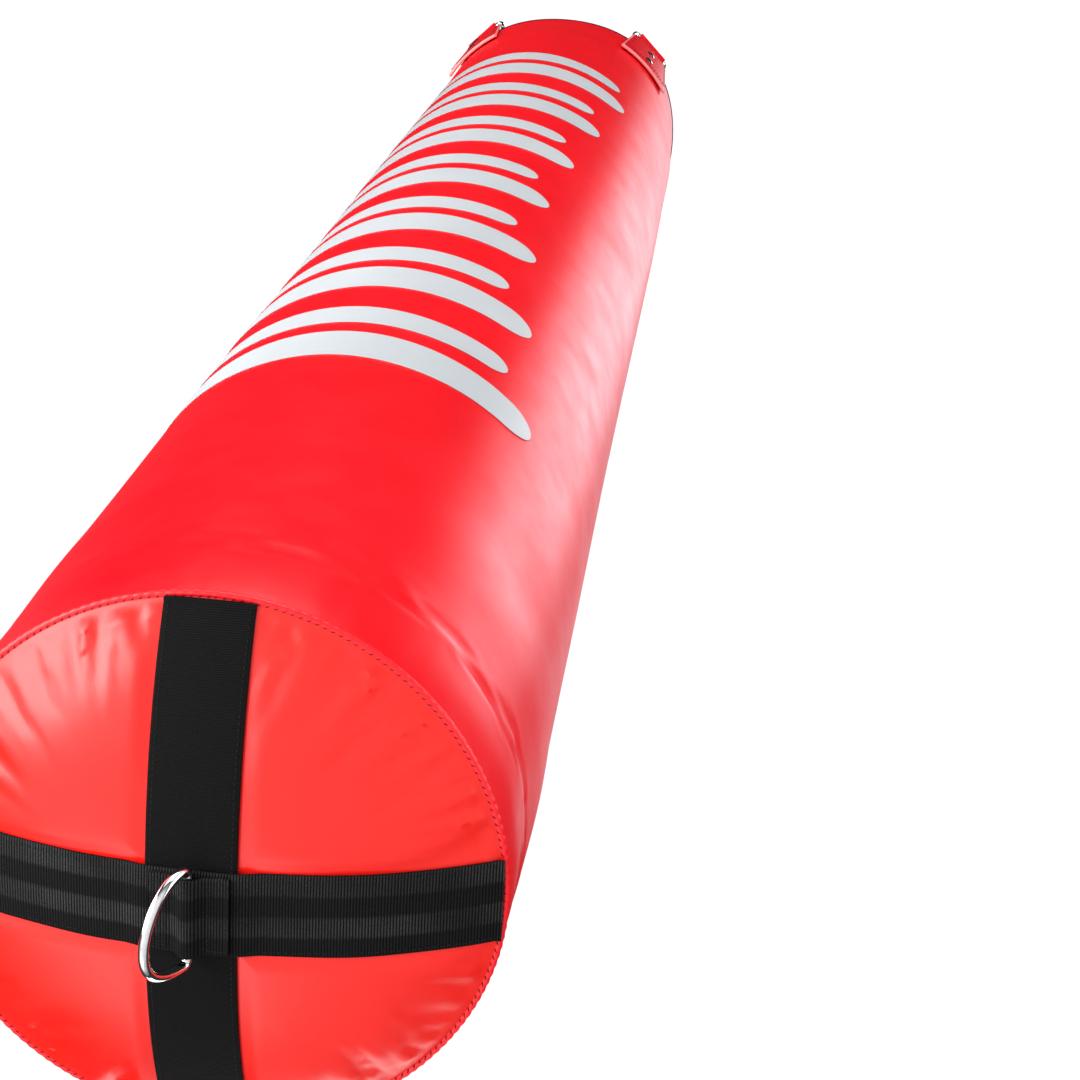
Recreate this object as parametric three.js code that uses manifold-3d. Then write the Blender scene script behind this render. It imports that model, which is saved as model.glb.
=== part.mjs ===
// A heavy punching bag that hangs on four chains, a gather ring and a swivel.
// Millimetres, +Z up. The origin is the point of the swivel's upper eye that a hook carries.
import * as THREE from "three";
import { mergeVertices } from "three/addons/utils/BufferGeometryUtils.js";
import Module from "manifold-3d";

const wasm = await Module();
wasm.setup();

// ---- Driving dimensions ----

const GAP = 0.3; // between pieces that touch
const RING_SLACK = 0.8; // under the gather ring, so that the four top links can rock together
const AROUND = 44; // facets round the bag

const RIM_DROP = 506; // from the origin down to the bag's top rim
const BAG_LENGTH = 1833; // from the rim down to the bottom seam
const SEAM_R = 168; // outside radius just above the bottom seam
const RIM_R = 142; // outside radius at the rim
const SEAM_TUCK = 6; // how far the seam pulls the cover in
const TUCK_HEIGHT = 26; // height over which it pulls in
const DOME_HEIGHT = 45; // how far the bottom panel bulges
const DOME_POWER = 2.4; // 2 is a parabola, more is a flatter middle
const COVER_WALL = 2;
const FOAM_WALL = 20;
const LINER_WALL = 1.5;
const FILL_BELOW_RIM = 96; // head room that lets the bag be closed

const STRAP_WIDTH = 50;
const STRAP_THICK = 2.2;
const STRAP_END_R = 160; // where the bottom straps go into the seam

const TETHER = { inside: 52, depth: 36, wire: 6, lean: 6, tilt: 25 }; // bottom D-ring, tilt in degrees
const KEEPER = { width: 47, foot: 22, wall: 2 };

const TAB = { below: 70, above: 30, low: 72, high: 54, wall: 2.5 }; // vinyl patch, low and high: widths
const LOOP = { below: 60, width: 42, wall: 4.4, barAbove: 42 }; // doubled webbing inside the patch
const HANGER = { inside: 46, depth: 30, wire: 6, lean: 0 }; // D-ring in each tab
const RIVET = { shank: 2.5, hole: 2.9, head: 5.5, below: [10, 47] };

const LINKS = 13; // links in each chain
const LINK = { wire: 4, insideWidth: 9.4, bite: 0.3 }; // bite: how far one link presses into the next
const RING = { radius: 36, wire: 7 }; // gather ring, radius of its wire's centre
const LINK_SPACING = 8; // of the four top links along the gather ring

const EYE = { inside: 16, wire: 10 };
const COLLAR = { top: -50, radius: 13, bottom: -56 };
const STEM_R = 6;
const STEM_BOTTOM = -84;
const BEARING = { radius: 15, height: 5.4 };
const YOKE = { plateR: 21, plate: 8, wire: 9, halfWidth: 17, straight: 33 };
const NUT = { acrossCorners: 24, height: 10 };

const LID = { drop: 3, wall: 2, zipHalfGap: 10 };
const ZIP = { halfLength: 124, tapeWidth: 19, tapeWall: 1.2, coil: 2.6, coilHeight: 3, split: 0.8 };
const SLIDER = { at: 104, length: 15, halfWidth: 5, plate: 1.5, web: 0.5 };
const PULL = { length: 32, halfWidth: 4, wall: 1.6 };

// ---- Heights worked out from them ----

const rimZ = -RIM_DROP;
const seamZ = rimZ - BAG_LENGTH;
const taper = (SEAM_R - RIM_R) / BAG_LENGTH;
const coneR = (z) => RIM_R + (rimZ - z) * taper;
const rad = THREE.MathUtils.degToRad;

// ---- Solids ----

const v3 = (x, y, z) => new THREE.Vector3(x, y, z);

function toSolid(geometry) {
  const bare = geometry.clone();
  bare.deleteAttribute("normal");
  bare.deleteAttribute("uv");
  const merged = mergeVertices(bare, 1e-4);
  return new wasm.Manifold(
    new wasm.Mesh({
      numProp: 3,
      vertProperties: merged.attributes.position.array,
      triVerts: new Uint32Array(merged.index.array),
    }),
  );
}

function toGeometry(solid) {
  const mesh = solid.getMesh();
  const geometry = new THREE.BufferGeometry();
  geometry.setAttribute("position", new THREE.BufferAttribute(mesh.vertProperties, 3));
  geometry.setIndex(new THREE.BufferAttribute(mesh.triVerts, 1));
  geometry.computeVertexNormals();
  return geometry;
}

const join = (first, ...rest) =>
  toGeometry(rest.reduce((made, next) => made.add(toSolid(next)), toSolid(first)));
const cut = (from, ...tools) =>
  toGeometry(tools.reduce((made, tool) => made.subtract(toSolid(tool)), toSolid(from)));
const common = (first, second) => toGeometry(toSolid(first).intersect(toSolid(second)));

// A profile of [radius, height] pairs turned round the Z axis.
function lathe(profile, segments = AROUND) {
  const points = profile.map(([r, z]) => new THREE.Vector2(r, z));
  return new THREE.LatheGeometry(points, segments).rotateX(Math.PI / 2);
}

// A ring of rectangular section.
function sleeve(inner, outer, low, high, segments = AROUND) {
  const profile = [[inner, low], [outer, low], [outer, high], [inner, high], [inner, low]];
  return lathe(profile, segments);
}

function disc(radius, low, high, segments = 16) {
  return lathe([[0, low], [radius, low], [radius, high], [0, high]], segments);
}

// A box from its lowest to its highest corner.
function block(x0, y0, z0, x1, y1, z1) {
  const box = new THREE.BoxGeometry(x1 - x0, y1 - y0, z1 - z0);
  return box.translate((x0 + x1) / 2, (y0 + y1) / 2, (z0 + z1) / 2);
}

// A round wire along points.
function wire(points, radius, steps, sides = 6) {
  const section = new THREE.Shape();
  for (let i = 0; i < sides; i++) {
    const a = (2 * Math.PI * i) / sides;
    const place = [radius * Math.cos(a), radius * Math.sin(a)];
    if (i) section.lineTo(...place);
    else section.moveTo(...place);
  }
  const extrudePath = new THREE.CatmullRomCurve3(points);
  return new THREE.ExtrudeGeometry(section, { steps, extrudePath });
}

// A capped bar between two points.
function bar(from, to, radius, sides = 8) {
  const along = to.clone().sub(from);
  const made = new THREE.CylinderGeometry(radius, radius, along.length(), sides);
  const turn = new THREE.Quaternion().setFromUnitVectors(v3(0, 1, 0), along.clone().normalize());
  return made.applyQuaternion(turn).translate(...from.clone().lerp(to, 0.5).toArray());
}

// A D-shaped ring in the XY plane: its straight bar along X at y = 0, its bow reaching y = depth
// and leaning towards -X.
function dRing({ inside, depth, wire: thick, lean }) {
  const half = (inside + thick) / 2;
  const corner = 4; // radius of the bends at the ends of the bar
  const points = [];
  for (let a = -90; a < 0; a += 30) {
    points.push(v3(half - corner + corner * Math.cos(rad(a)), corner + corner * Math.sin(rad(a)), 0));
  }
  for (let a = 0; a <= 180; a += 20) {
    const rise = Math.sin(rad(a));
    points.push(v3(half * Math.cos(rad(a)) - lean * rise * rise, corner + (depth - corner) * rise, 0));
  }
  for (let a = 210; a <= 270; a += 30) {
    points.push(v3(corner - half + corner * Math.cos(rad(a)), corner + corner * Math.sin(rad(a)), 0));
  }
  const bow = wire(points, thick / 2, 20);
  const reach = half - corner + 1;
  return join(bow, bar(v3(-reach, 0, 0), v3(reach, 0, 0), thick / 2 + 0.05, 8));
}

// One chain link in the XY plane, its length along Y. The bends are half octagons.
function link(insideLength) {
  const steps = 8;
  const half = (LINK.insideWidth + LINK.wire) / 2;
  const flat = Math.cos(Math.PI / steps);
  const made = new THREE.TorusGeometry(half / flat, LINK.wire / 2, 6, steps);
  made.rotateZ(Math.PI / steps);
  const straight = insideLength / 2 - half + (LINK.wire / 2) * flat;
  const at = made.attributes.position;
  for (let i = 0; i < at.count; i++) {
    at.setY(i, at.getY(i) + Math.sign(at.getY(i)) * straight);
  }
  return made;
}

// ---- Materials ----

const finish = (color, roughness, metalness = 0) =>
  new THREE.MeshStandardMaterial({ color, roughness, metalness });

const group = new THREE.Group();

function piece(name, geometry, material) {
  const mesh = new THREE.Mesh(geometry, material);
  mesh.name = name;
  group.add(mesh);
  return mesh;
}

const redVinyl = () => finish(0xe3182b, 0.42);
const panelVinyl = () => finish(0xf2402f, 0.42);
const webbing = () => finish(0x141416, 0.8);
const steel = () => finish(0xc9ccd1, 0.25, 1);

// ---- Swivel ----

function swivel() {
  const mean = EYE.inside + EYE.wire / 2;
  const loop = new THREE.TorusGeometry(mean, EYE.wire / 2, 8, 20).rotateX(Math.PI / 2);
  loop.translate(0, 0, -EYE.inside);
  const neckTop = -EYE.inside - mean;
  const shank = lathe(
    [
      [0, STEM_BOTTOM], [STEM_R, STEM_BOTTOM], [STEM_R, COLLAR.bottom],
      [COLLAR.radius, COLLAR.bottom], [COLLAR.radius, COLLAR.top], [8, neckTop], [0, neckTop],
    ],
    16,
  );
  piece("swivel_upper_eye", join(loop, shank), steel());

  const bearingTop = COLLAR.bottom - GAP;
  const bearingBottom = bearingTop - BEARING.height;
  const boreR = STEM_R + GAP;
  piece("swivel_thrust_bearing", sleeve(boreR, BEARING.radius, bearingBottom, bearingTop, 20), steel());

  const plateTop = bearingBottom - GAP;
  const plateBottom = plateTop - YOKE.plate;
  const legTop = plateBottom + YOKE.plate / 2;
  const bendZ = legTop - YOKE.straight;
  const points = [v3(YOKE.halfWidth, 0, legTop), v3(YOKE.halfWidth, 0, (legTop + bendZ) / 2)];
  for (let a = 0; a >= -180; a -= 22.5) {
    const out = YOKE.halfWidth * Math.cos(rad(a));
    points.push(v3(out, 0, bendZ + YOKE.halfWidth * Math.sin(rad(a))));
  }
  points.push(v3(-YOKE.halfWidth, 0, (legTop + bendZ) / 2), v3(-YOKE.halfWidth, 0, legTop));
  const yoke = join(disc(YOKE.plateR, plateBottom, plateTop, 20), wire(points, YOKE.wire / 2, 18, 8));
  const bore = disc(boreR, plateBottom - 5, plateTop + 5);
  piece("swivel_yoke", cut(yoke, bore), steel());

  const nutTop = plateBottom - GAP;
  const hexagon = new THREE.CylinderGeometry(NUT.acrossCorners / 2, NUT.acrossCorners / 2, NUT.height, 6);
  hexagon.rotateX(Math.PI / 2).translate(0, 0, nutTop - NUT.height / 2);
  piece("swivel_nut", cut(hexagon, disc(boreR, nutTop - 20, nutTop + 5)), steel());

  return bendZ - YOKE.halfWidth; // the height of the yoke's bottom wire
}

// ---- Gather ring ----

function gatherRing(yokeWireZ) {
  const topWireZ = yokeWireZ + YOKE.wire / 2 + RING.wire / 2 + GAP;
  const centreZ = topWireZ - RING.radius;
  const made = new THREE.TorusGeometry(RING.radius, RING.wire / 2, 8, 24).rotateY(Math.PI / 2);
  piece("gather_ring", made.translate(0, 0, centreZ), steel());
  return centreZ;
}

// ---- Chains, D-rings, tabs and rivets, four of each ----

// turn is the tab's angle from +X; slot is its top link's place along the gather ring.
const CORNERS = [
  { name: "front_left", turn: -135, slot: -1.5 },
  { name: "front_right", turn: -45, slot: -0.5 },
  { name: "back_left", turn: 135, slot: 0.5 },
  { name: "back_right", turn: 45, slot: 1.5 },
];

function chain(name, top, bottom, firstNormal, lastNormal) {
  const down = bottom.clone().sub(top);
  const span = down.length();
  down.normalize();
  const ends = RING.wire / 2 + RING_SLACK + HANGER.wire / 2 + GAP;
  const insideLength = (span + ends - (LINKS - 1) * LINK.bite) / LINKS;
  const flatten = (v) => v.clone().addScaledVector(down, -v.dot(down)).normalize();
  const start = flatten(firstNormal);
  let twist = start.angleTo(flatten(lastNormal));
  if (flatten(lastNormal).cross(start).dot(down) > 0) twist = -twist;
  let made;
  for (let i = 0; i < LINKS; i++) {
    const roll = i * (Math.PI / 2) + (twist * i) / (LINKS - 1);
    const normal = start.clone().applyAxisAngle(down, roll);
    const side = down.clone().cross(normal);
    const along = insideLength / 2 - RING.wire / 2 - RING_SLACK + i * (insideLength + LINK.bite);
    const place = new THREE.Matrix4().makeBasis(side, down, normal);
    place.setPosition(top.clone().addScaledVector(down, along));
    const solid = toSolid(link(insideLength).applyMatrix4(place));
    made = made ? made.add(solid) : solid;
  }
  piece(name, toGeometry(made), steel());
}

// A plate that follows the bag's cone at a corner, from its outline of [sideways, height] pairs.
function conePlate(outline, turn, lift, wall) {
  const low = rimZ - 120;
  const high = rimZ + 80;
  const skin = lathe([
    [coneR(low) + lift, low], [coneR(low) + lift + wall, low],
    [coneR(high) + lift + wall, high], [coneR(high) + lift, high], [coneR(low) + lift, low],
  ]);
  const shape = new THREE.Shape(outline.map(([x, z]) => new THREE.Vector2(x, z)));
  const depth = 80; // of the prism, half inside the rim's radius and half outside
  const prism = new THREE.ExtrudeGeometry(shape, { depth, bevelEnabled: false });
  prism.rotateX(Math.PI / 2).translate(0, RIM_R + depth / 2, 0);
  prism.rotateZ(rad(turn) - Math.PI / 2);
  return common(skin, prism);
}

function corner({ name, turn, slot }, ringZ, rivetHoles) {
  const out = v3(Math.cos(rad(turn)), Math.sin(rad(turn)), 0);
  const side = v3(-out.y, out.x, 0);

  const y = slot * LINK_SPACING;
  const lean = Math.asin(y / RING.radius);
  const top = v3(0, y, ringZ - RING.radius * Math.cos(lean));
  const wireWay = v3(0, Math.cos(lean), Math.sin(lean));

  const barR = RIM_R + GAP + LOOP.wall / 2;
  const barAt = out.clone().multiplyScalar(barR).setZ(rimZ + LOOP.barAbove);
  const up = top.clone().sub(barAt).normalize();
  const bow = barAt.clone().addScaledVector(up, HANGER.depth);
  chain("chain_" + name, top, bow, wireWay, side);

  const across = side.clone();
  const face = across.clone().cross(up).normalize();
  const hang = new THREE.Matrix4().makeBasis(across, up, face).setPosition(barAt);
  piece("hanger_ring_" + name, dRing(HANGER).applyMatrix4(hang), steel());

  // Rivets point outwards through the cover, the webbing and the patch.
  const holes = RIVET.below.map((below) => {
    const at = (r) => out.clone().multiplyScalar(r).setZ(rimZ - below);
    return bar(at(RIM_R - 20), at(RIM_R + 30), RIVET.hole, 8);
  });
  rivetHoles.push(...holes);
  const patchLift = 2 * GAP + LOOP.wall;
  RIVET.below.forEach((below, i) => {
    const skinR = coneR(rimZ - below) * Math.cos(Math.PI / AROUND); // at the middle of a facet
    const inner = skinR - COVER_WALL - GAP;
    const outer = skinR + patchLift + TAB.wall + GAP;
    const profile = [
      [0, inner - 1.6], [4.5, inner - 1.6], [4.5, inner], [RIVET.shank, inner],
      [RIVET.shank, outer], [RIVET.head, outer], [RIVET.head - 1, outer + 1.5], [0, outer + 2.2],
    ];
    const made = lathe(profile, 10).rotateY(Math.PI / 2).rotateZ(rad(turn));
    piece(`rivet_${name}_${i ? "lower" : "upper"}`, made.translate(0, 0, rimZ - below), steel());
  });

  const halfLoop = LOOP.width / 2;
  const strip = conePlate(
    [
      [-halfLoop, rimZ - LOOP.below], [halfLoop, rimZ - LOOP.below],
      [halfLoop, rimZ + LOOP.barAbove], [-halfLoop, rimZ + LOOP.barAbove],
    ],
    turn,
    GAP,
    LOOP.wall,
  );
  const ends = [-halfLoop, halfLoop].map((s) => barAt.clone().addScaledVector(side, s));
  const overs = [-40, 40].map((s) => barAt.clone().addScaledVector(side, s));
  const fold = bar(ends[0], ends[1], HANGER.wire / 2 + 2.6, 12);
  const eyelet = bar(overs[0], overs[1], HANGER.wire / 2 + 0.6, 12);
  piece("tab_webbing_" + name, cut(join(strip, fold), eyelet, ...holes), webbing());

  const patch = conePlate(
    [
      [-TAB.low / 2, rimZ - TAB.below], [TAB.low / 2, rimZ - TAB.below],
      [TAB.high / 2, rimZ + TAB.above], [-TAB.high / 2, rimZ + TAB.above],
    ],
    turn,
    patchLift,
    TAB.wall,
  );
  piece("hanging_tab_" + name, cut(patch, ...holes), redVinyl());
}

// ---- The bag's layers ----

// The cover's outside from rim to seam, moved inwards by depth.
function coverLine(depth) {
  const line = [[coneR(rimZ) - depth, rimZ]];
  for (let i = 0; i <= 4; i++) {
    const rise = TUCK_HEIGHT * Math.cos((i / 4) * (Math.PI / 2));
    const tuck = SEAM_TUCK * (1 - Math.sqrt(Math.max(0, 1 - (1 - rise / TUCK_HEIGHT) ** 2)));
    line.push([coneR(seamZ + rise) - tuck - depth, seamZ + rise]);
  }
  return line;
}

function cover(rivetHoles) {
  const outside = coverLine(0);
  const inside = coverLine(COVER_WALL).reverse();
  const shell = lathe([...inside, ...outside, inside[0]].reverse());
  piece("cover_tube", cut(shell, ...rivetHoles), redVinyl());
}

// The bottom panel's inside face at a radius, and a cap between two depths below it.
const domeR = SEAM_R - SEAM_TUCK;
const domeRise = DOME_HEIGHT - COVER_WALL;
const domeZ = (r) => seamZ - GAP - domeRise * (1 - (Math.min(r, domeR) / domeR) ** DOME_POWER);

function domeLine(depth, rings = 7, reach = domeR) {
  const line = [];
  for (let i = 0; i <= rings; i++) {
    const r = reach * Math.sin((i / rings) * (Math.PI / 2));
    line.push([r, domeZ(r) - depth]);
  }
  return line;
}

function domeShell(inner, outer, rings, reach) {
  return lathe([...domeLine(outer, rings, reach), ...domeLine(inner, rings, reach).reverse()]);
}

function bottom() {
  piece("bottom_panel", domeShell(0, COVER_WALL), panelVinyl());
  const half = STRAP_WIDTH / 2;
  const far = STRAP_END_R;
  const near = COVER_WALL + GAP;
  const long = domeShell(near, near + STRAP_THICK);
  const lower = seamZ - 100;
  piece(
    "bottom_strap_long",
    common(long, block(-half, -far, lower, half, far, seamZ + 10)),
    webbing(),
  );
  const over = near + STRAP_THICK + GAP;
  const cross = domeShell(over, over + STRAP_THICK);
  piece(
    "bottom_strap_cross",
    common(cross, block(-far, -half, lower, far, half, seamZ + 10)),
    webbing(),
  );
  tether(domeZ(0) - over - STRAP_THICK);
}

// The fold of webbing that keeps the D-ring, and the D-ring tilted in it.
function tether(strapZ) {
  const bore = TETHER.wire / 2 + 0.5;
  const barZ = strapZ - GAP - bore;
  const outside = bore + KEEPER.wall;
  const footTop = strapZ - GAP;
  const footBottom = footTop - KEEPER.wall;
  const half = KEEPER.width / 2;
  const feet = block(-KEEPER.foot, -half, footBottom, KEEPER.foot, half, footTop);
  const fold = bar(v3(0, -half, barZ), v3(0, half, barZ), outside, 16);
  const walls = block(-outside, -half, barZ, outside, half, footTop);
  const channel = bar(v3(0, -50, barZ), v3(0, 50, barZ), bore, 16);
  const mouth = block(-bore, -50, barZ, bore, 50, strapZ + 5);
  const trim = block(-50, -50, footTop, 50, 50, footTop + 30);
  piece("ring_keeper", cut(join(feet, fold, walls), channel, mouth, trim), webbing());

  const ring = dRing(TETHER).rotateZ(Math.PI).rotateX(Math.PI / 2).rotateZ(Math.PI / 2);
  ring.rotateY(rad(TETHER.tilt));
  piece("tether_ring", ring.translate(0, 0, barZ), steel());
}

function inside() {
  const top = rimZ - FILL_BELOW_RIM;
  const foot = seamZ + TUCK_HEIGHT + 4;
  const layer = (inner, outer, high, low) => [
    [coneR(low) - outer, low], [coneR(low) - inner, low],
    [coneR(high) - inner, high], [coneR(high) - outer, high], [coneR(low) - outer, low],
  ];
  let depth = COVER_WALL + GAP;
  piece("foam_wrap", lathe(layer(depth, depth + FOAM_WALL, top, foot)), finish(0xd8d2c4, 0.9));
  depth += FOAM_WALL + GAP;

  const padTop = foot - GAP;
  const padReach = domeR - 12;
  const padLine = domeLine(-GAP, 6, padReach);
  piece("bottom_pad", lathe([...padLine, [padReach, padTop], [0, padTop]]), finish(0xd8d2c4, 0.9));

  const floor = foot + LINER_WALL;
  const liner = [
    [0, foot], [coneR(foot) - depth, foot], [coneR(top) - depth, top],
    [coneR(top) - depth - LINER_WALL, top], [coneR(floor) - depth - LINER_WALL, floor], [0, floor],
  ];
  piece("liner_sack", lathe(liner), finish(0xb9b2a0, 0.9));
  depth += LINER_WALL + GAP;

  const low = floor + GAP;
  const fill = [[0, low], [coneR(low) - depth, low], [coneR(top) - depth, top], [0, top]];
  piece("textile_filling", lathe(fill), finish(0x8d8a86, 1));
}

// ---- The zipped top ----

function topClosure() {
  piece("rim_binding", sleeve(RIM_R - 5, RIM_R - 0.4, rimZ + GAP, rimZ + 4), finish(0x3a1014, 0.6));

  const lidTop = rimZ - LID.drop;
  const lidBottom = lidTop - LID.wall;
  const round = disc(RIM_R - COVER_WALL - GAP, lidBottom, lidTop, AROUND);
  const wide = 2 * RIM_R;
  const front = block(-wide, -wide, lidBottom - 5, wide, -LID.zipHalfGap, lidTop + 5);
  const back = block(-wide, LID.zipHalfGap, lidBottom - 5, wide, wide, lidTop + 5);
  piece("top_panel_front", common(round, front), redVinyl());
  piece("top_panel_back", common(round, back), redVinyl());

  const tapeTop = lidBottom - GAP;
  const tapeBottom = tapeTop - ZIP.tapeWall;
  const coilTop = (tapeTop + tapeBottom) / 2 + ZIP.coilHeight / 2;
  const coilBottom = coilTop - ZIP.coilHeight;
  for (const [name, s] of [["front", -1], ["back", 1]]) {
    const long = ZIP.halfLength;
    const strip = block(-long, ZIP.split + 1, tapeBottom, long, ZIP.tapeWidth, tapeTop);
    const coil = block(-long + 6, ZIP.split, coilBottom, long - 6, ZIP.split + ZIP.coil, coilTop);
    const tape = join(strip, coil);
    if (s < 0) tape.rotateZ(Math.PI);
    piece("zip_tape_" + name, tape, webbing());
  }

  const plateLow = coilTop + GAP;
  const plateHigh = plateLow + SLIDER.plate;
  const underHigh = coilBottom - GAP;
  const underLow = underHigh - SLIDER.plate;
  const x0 = SLIDER.at - SLIDER.length / 2;
  const x1 = SLIDER.at + SLIDER.length / 2;
  const w = SLIDER.halfWidth;
  const post = 1.2;
  const crown = plateHigh + 3.6;
  const slider = join(
    block(x0, -w, plateLow, x1, w, plateHigh),
    block(x0, -w, underLow, x1, w, underHigh),
    block(x1 - 5, -SLIDER.web, underLow + 0.5, x1 - 1, SLIDER.web, plateHigh - 0.5),
    block(SLIDER.at - 3.5, -1, plateHigh - 0.5, SLIDER.at - 3.5 + post, 1, crown),
    block(SLIDER.at + 3.5 - post, -1, plateHigh - 0.5, SLIDER.at + 3.5, 1, crown),
    block(SLIDER.at - 3.5, -1, crown - post, SLIDER.at + 3.5, 1, crown),
  );
  piece("zip_slider", slider, steel());

  const pinZ = plateHigh + 1.2;
  const arm = PULL.halfWidth;
  const pin = bar(v3(SLIDER.at, -arm, pinZ), v3(SLIDER.at, arm, pinZ), PULL.wall / 2, 8);
  const low = pinZ - PULL.wall / 2;
  const high = pinZ + PULL.wall / 2;
  const tip = SLIDER.at - PULL.length;
  const plate = block(tip, -arm, low, SLIDER.at - 7, arm, high);
  const arms = [-1, 1].map((s) => {
    const [a, b] = [s * arm, s * (arm - 1.6)].sort((m, n) => m - n);
    return block(SLIDER.at - 8, a, low, SLIDER.at + 0.5, b, high);
  });
  const eyelet = disc(1.8, low - 5, high + 5, 12).translate(tip + 4, 0, 0);
  piece("zip_pull", cut(join(plate, ...arms, pin), eyelet), steel());
}

// ---- Assembly ----

const ringZ = gatherRing(swivel());
const rivetHoles = [];
CORNERS.forEach((c) => corner(c, ringZ, rivetHoles));
cover(rivetHoles);
bottom();
inside();
topClosure();

export default group;
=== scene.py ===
"""A long red punching bag on four chains, a gather ring and a swivel, seen from under its bottom end."""

import math

import bpy
from mathutils import Matrix, Vector, noise


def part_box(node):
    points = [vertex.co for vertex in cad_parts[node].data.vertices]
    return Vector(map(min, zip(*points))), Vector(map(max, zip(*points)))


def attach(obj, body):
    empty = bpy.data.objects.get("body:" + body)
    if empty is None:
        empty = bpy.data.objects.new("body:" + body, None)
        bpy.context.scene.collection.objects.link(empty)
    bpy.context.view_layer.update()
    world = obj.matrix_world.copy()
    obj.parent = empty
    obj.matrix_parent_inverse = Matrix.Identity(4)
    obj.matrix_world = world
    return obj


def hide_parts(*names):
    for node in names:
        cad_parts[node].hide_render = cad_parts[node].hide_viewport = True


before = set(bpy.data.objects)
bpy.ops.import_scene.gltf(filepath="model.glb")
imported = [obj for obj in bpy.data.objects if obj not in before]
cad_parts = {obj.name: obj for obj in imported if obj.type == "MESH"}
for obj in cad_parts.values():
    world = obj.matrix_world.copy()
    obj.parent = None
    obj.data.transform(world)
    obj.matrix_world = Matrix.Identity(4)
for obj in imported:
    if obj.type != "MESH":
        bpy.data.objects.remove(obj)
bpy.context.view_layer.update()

# ---- Sizes in metres ----

SEAM_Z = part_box("cover_tube")[0].z
RIM_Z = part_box("cover_tube")[1].z
SEAM_R = 0.168
RIM_R = 0.142
TUCK = 0.006
TUCK_HEIGHT = 0.042
TAPER = (SEAM_R - RIM_R) / (RIM_Z - SEAM_Z)
VINYL = 0.002
DOME_R = SEAM_R - TUCK
DOME_RISE = 0.043
DOME_POWER = 2.4
CREASED = 0.30  # height over the seam that the filling creases

STRAP_WIDTH = 0.050
STRAP_THICK = 0.0020
LONG_LIFT = 0.0004
CROSS_LIFT = 0.0028
STRAP_Z = SEAM_Z - 0.0503  # outside face of the crossed straps at the middle

TETHER_Z = SEAM_Z - 0.0541
TETHER_TILT = math.radians(25)

TABS = {"front_left": -135, "front_right": -45, "back_left": 135, "back_right": 45}
CHAIN_SLOTS = {"front_left": -1.5, "front_right": -0.5, "back_left": 0.5, "back_right": 1.5}
LINKS = 13
LINK_WIRE = 0.0020
LINK_HALF_WIDTH = 0.0067
GATHER_R = 0.036
GATHER_WIRE = 0.0035
GATHER_Z = -0.1437
RING_SLACK = 0.0008  # of the top links under the gather ring
HANGER_BAR_R = 0.1445
HANGER_BAR_Z = RIM_Z + 0.042
HANGER_DEPTH = 0.030
TAB_LOW, TAB_HIGH = RIM_Z - 0.070, RIM_Z + 0.030
LOOP_LOW = RIM_Z - 0.058
RIVETS = {"upper": 0.010, "lower": 0.047}  # below the rim
GAP = 0.0003

ABOVE = Vector((0, 0, 100))  # sheets under the bag face away from here


def cone_r(z):
    return RIM_R + (RIM_Z - z) * TAPER


def smooth(t):
    t = min(max(t, 0.0), 1.0)
    return t * t * (3 - 2 * t)


# ---- Modelling: helpers ----


def deselect():
    bpy.ops.object.select_all(action="DESELECT")


def active(obj):
    deselect()
    obj.select_set(True)
    bpy.context.view_layer.objects.active = obj
    return obj


def finished(obj, name, angle=40):
    """Applies place and modifiers, shades by angle and names the piece."""
    active(obj)
    bpy.ops.object.transform_apply(location=True, rotation=True, scale=True)
    for modifier in list(obj.modifiers):
        bpy.ops.object.modifier_apply(modifier=modifier.name)
    bpy.ops.object.shade_smooth_by_angle(angle=math.radians(angle))
    obj.name = name
    obj.data.name = name
    return obj


def outwards(obj, merge=1e-6):
    active(obj)
    bpy.ops.object.mode_set(mode="EDIT")
    bpy.ops.mesh.select_all(action="SELECT")
    bpy.ops.mesh.remove_doubles(threshold=merge)
    bpy.ops.mesh.normals_make_consistent(inside=False)
    bpy.ops.object.mode_set(mode="OBJECT")


def face_from(obj, centre):
    """Faces of an open sheet look away from a point."""
    mean = sum(p.normal.dot(p.center - centre) * p.area for p in obj.data.polygons)
    if mean < 0:
        active(obj)
        bpy.ops.object.mode_set(mode="EDIT")
        bpy.ops.mesh.select_all(action="SELECT")
        bpy.ops.mesh.flip_normals()
        bpy.ops.object.mode_set(mode="OBJECT")


def turned(profile, sides):
    """A shape turned round Z: a circle extruded and resized along [radius, height] pairs."""
    r, z = profile[0]
    start = max(r, 1e-5)
    deselect()
    bpy.ops.mesh.primitive_circle_add(vertices=sides, radius=start, location=(0, 0, z))
    obj = bpy.context.object
    bpy.ops.object.transform_apply(location=True, rotation=False, scale=False)
    bpy.ops.object.mode_set(mode="EDIT")
    bpy.ops.mesh.select_all(action="SELECT")
    last_r, last_z = start, z
    for r, z in profile[1:]:
        r = max(r, 1e-5)
        bpy.ops.mesh.extrude_region_move(TRANSFORM_OT_translate={"value": (0, 0, z - last_z)})
        if abs(r - last_r) > 1e-9:
            k = r / last_r
            bpy.ops.transform.resize(value=(k, k, 1), center_override=(0, 0, z))
        last_r, last_z = r, z
    bpy.ops.object.mode_set(mode="OBJECT")
    outwards(obj, 3e-5)
    return obj


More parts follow.
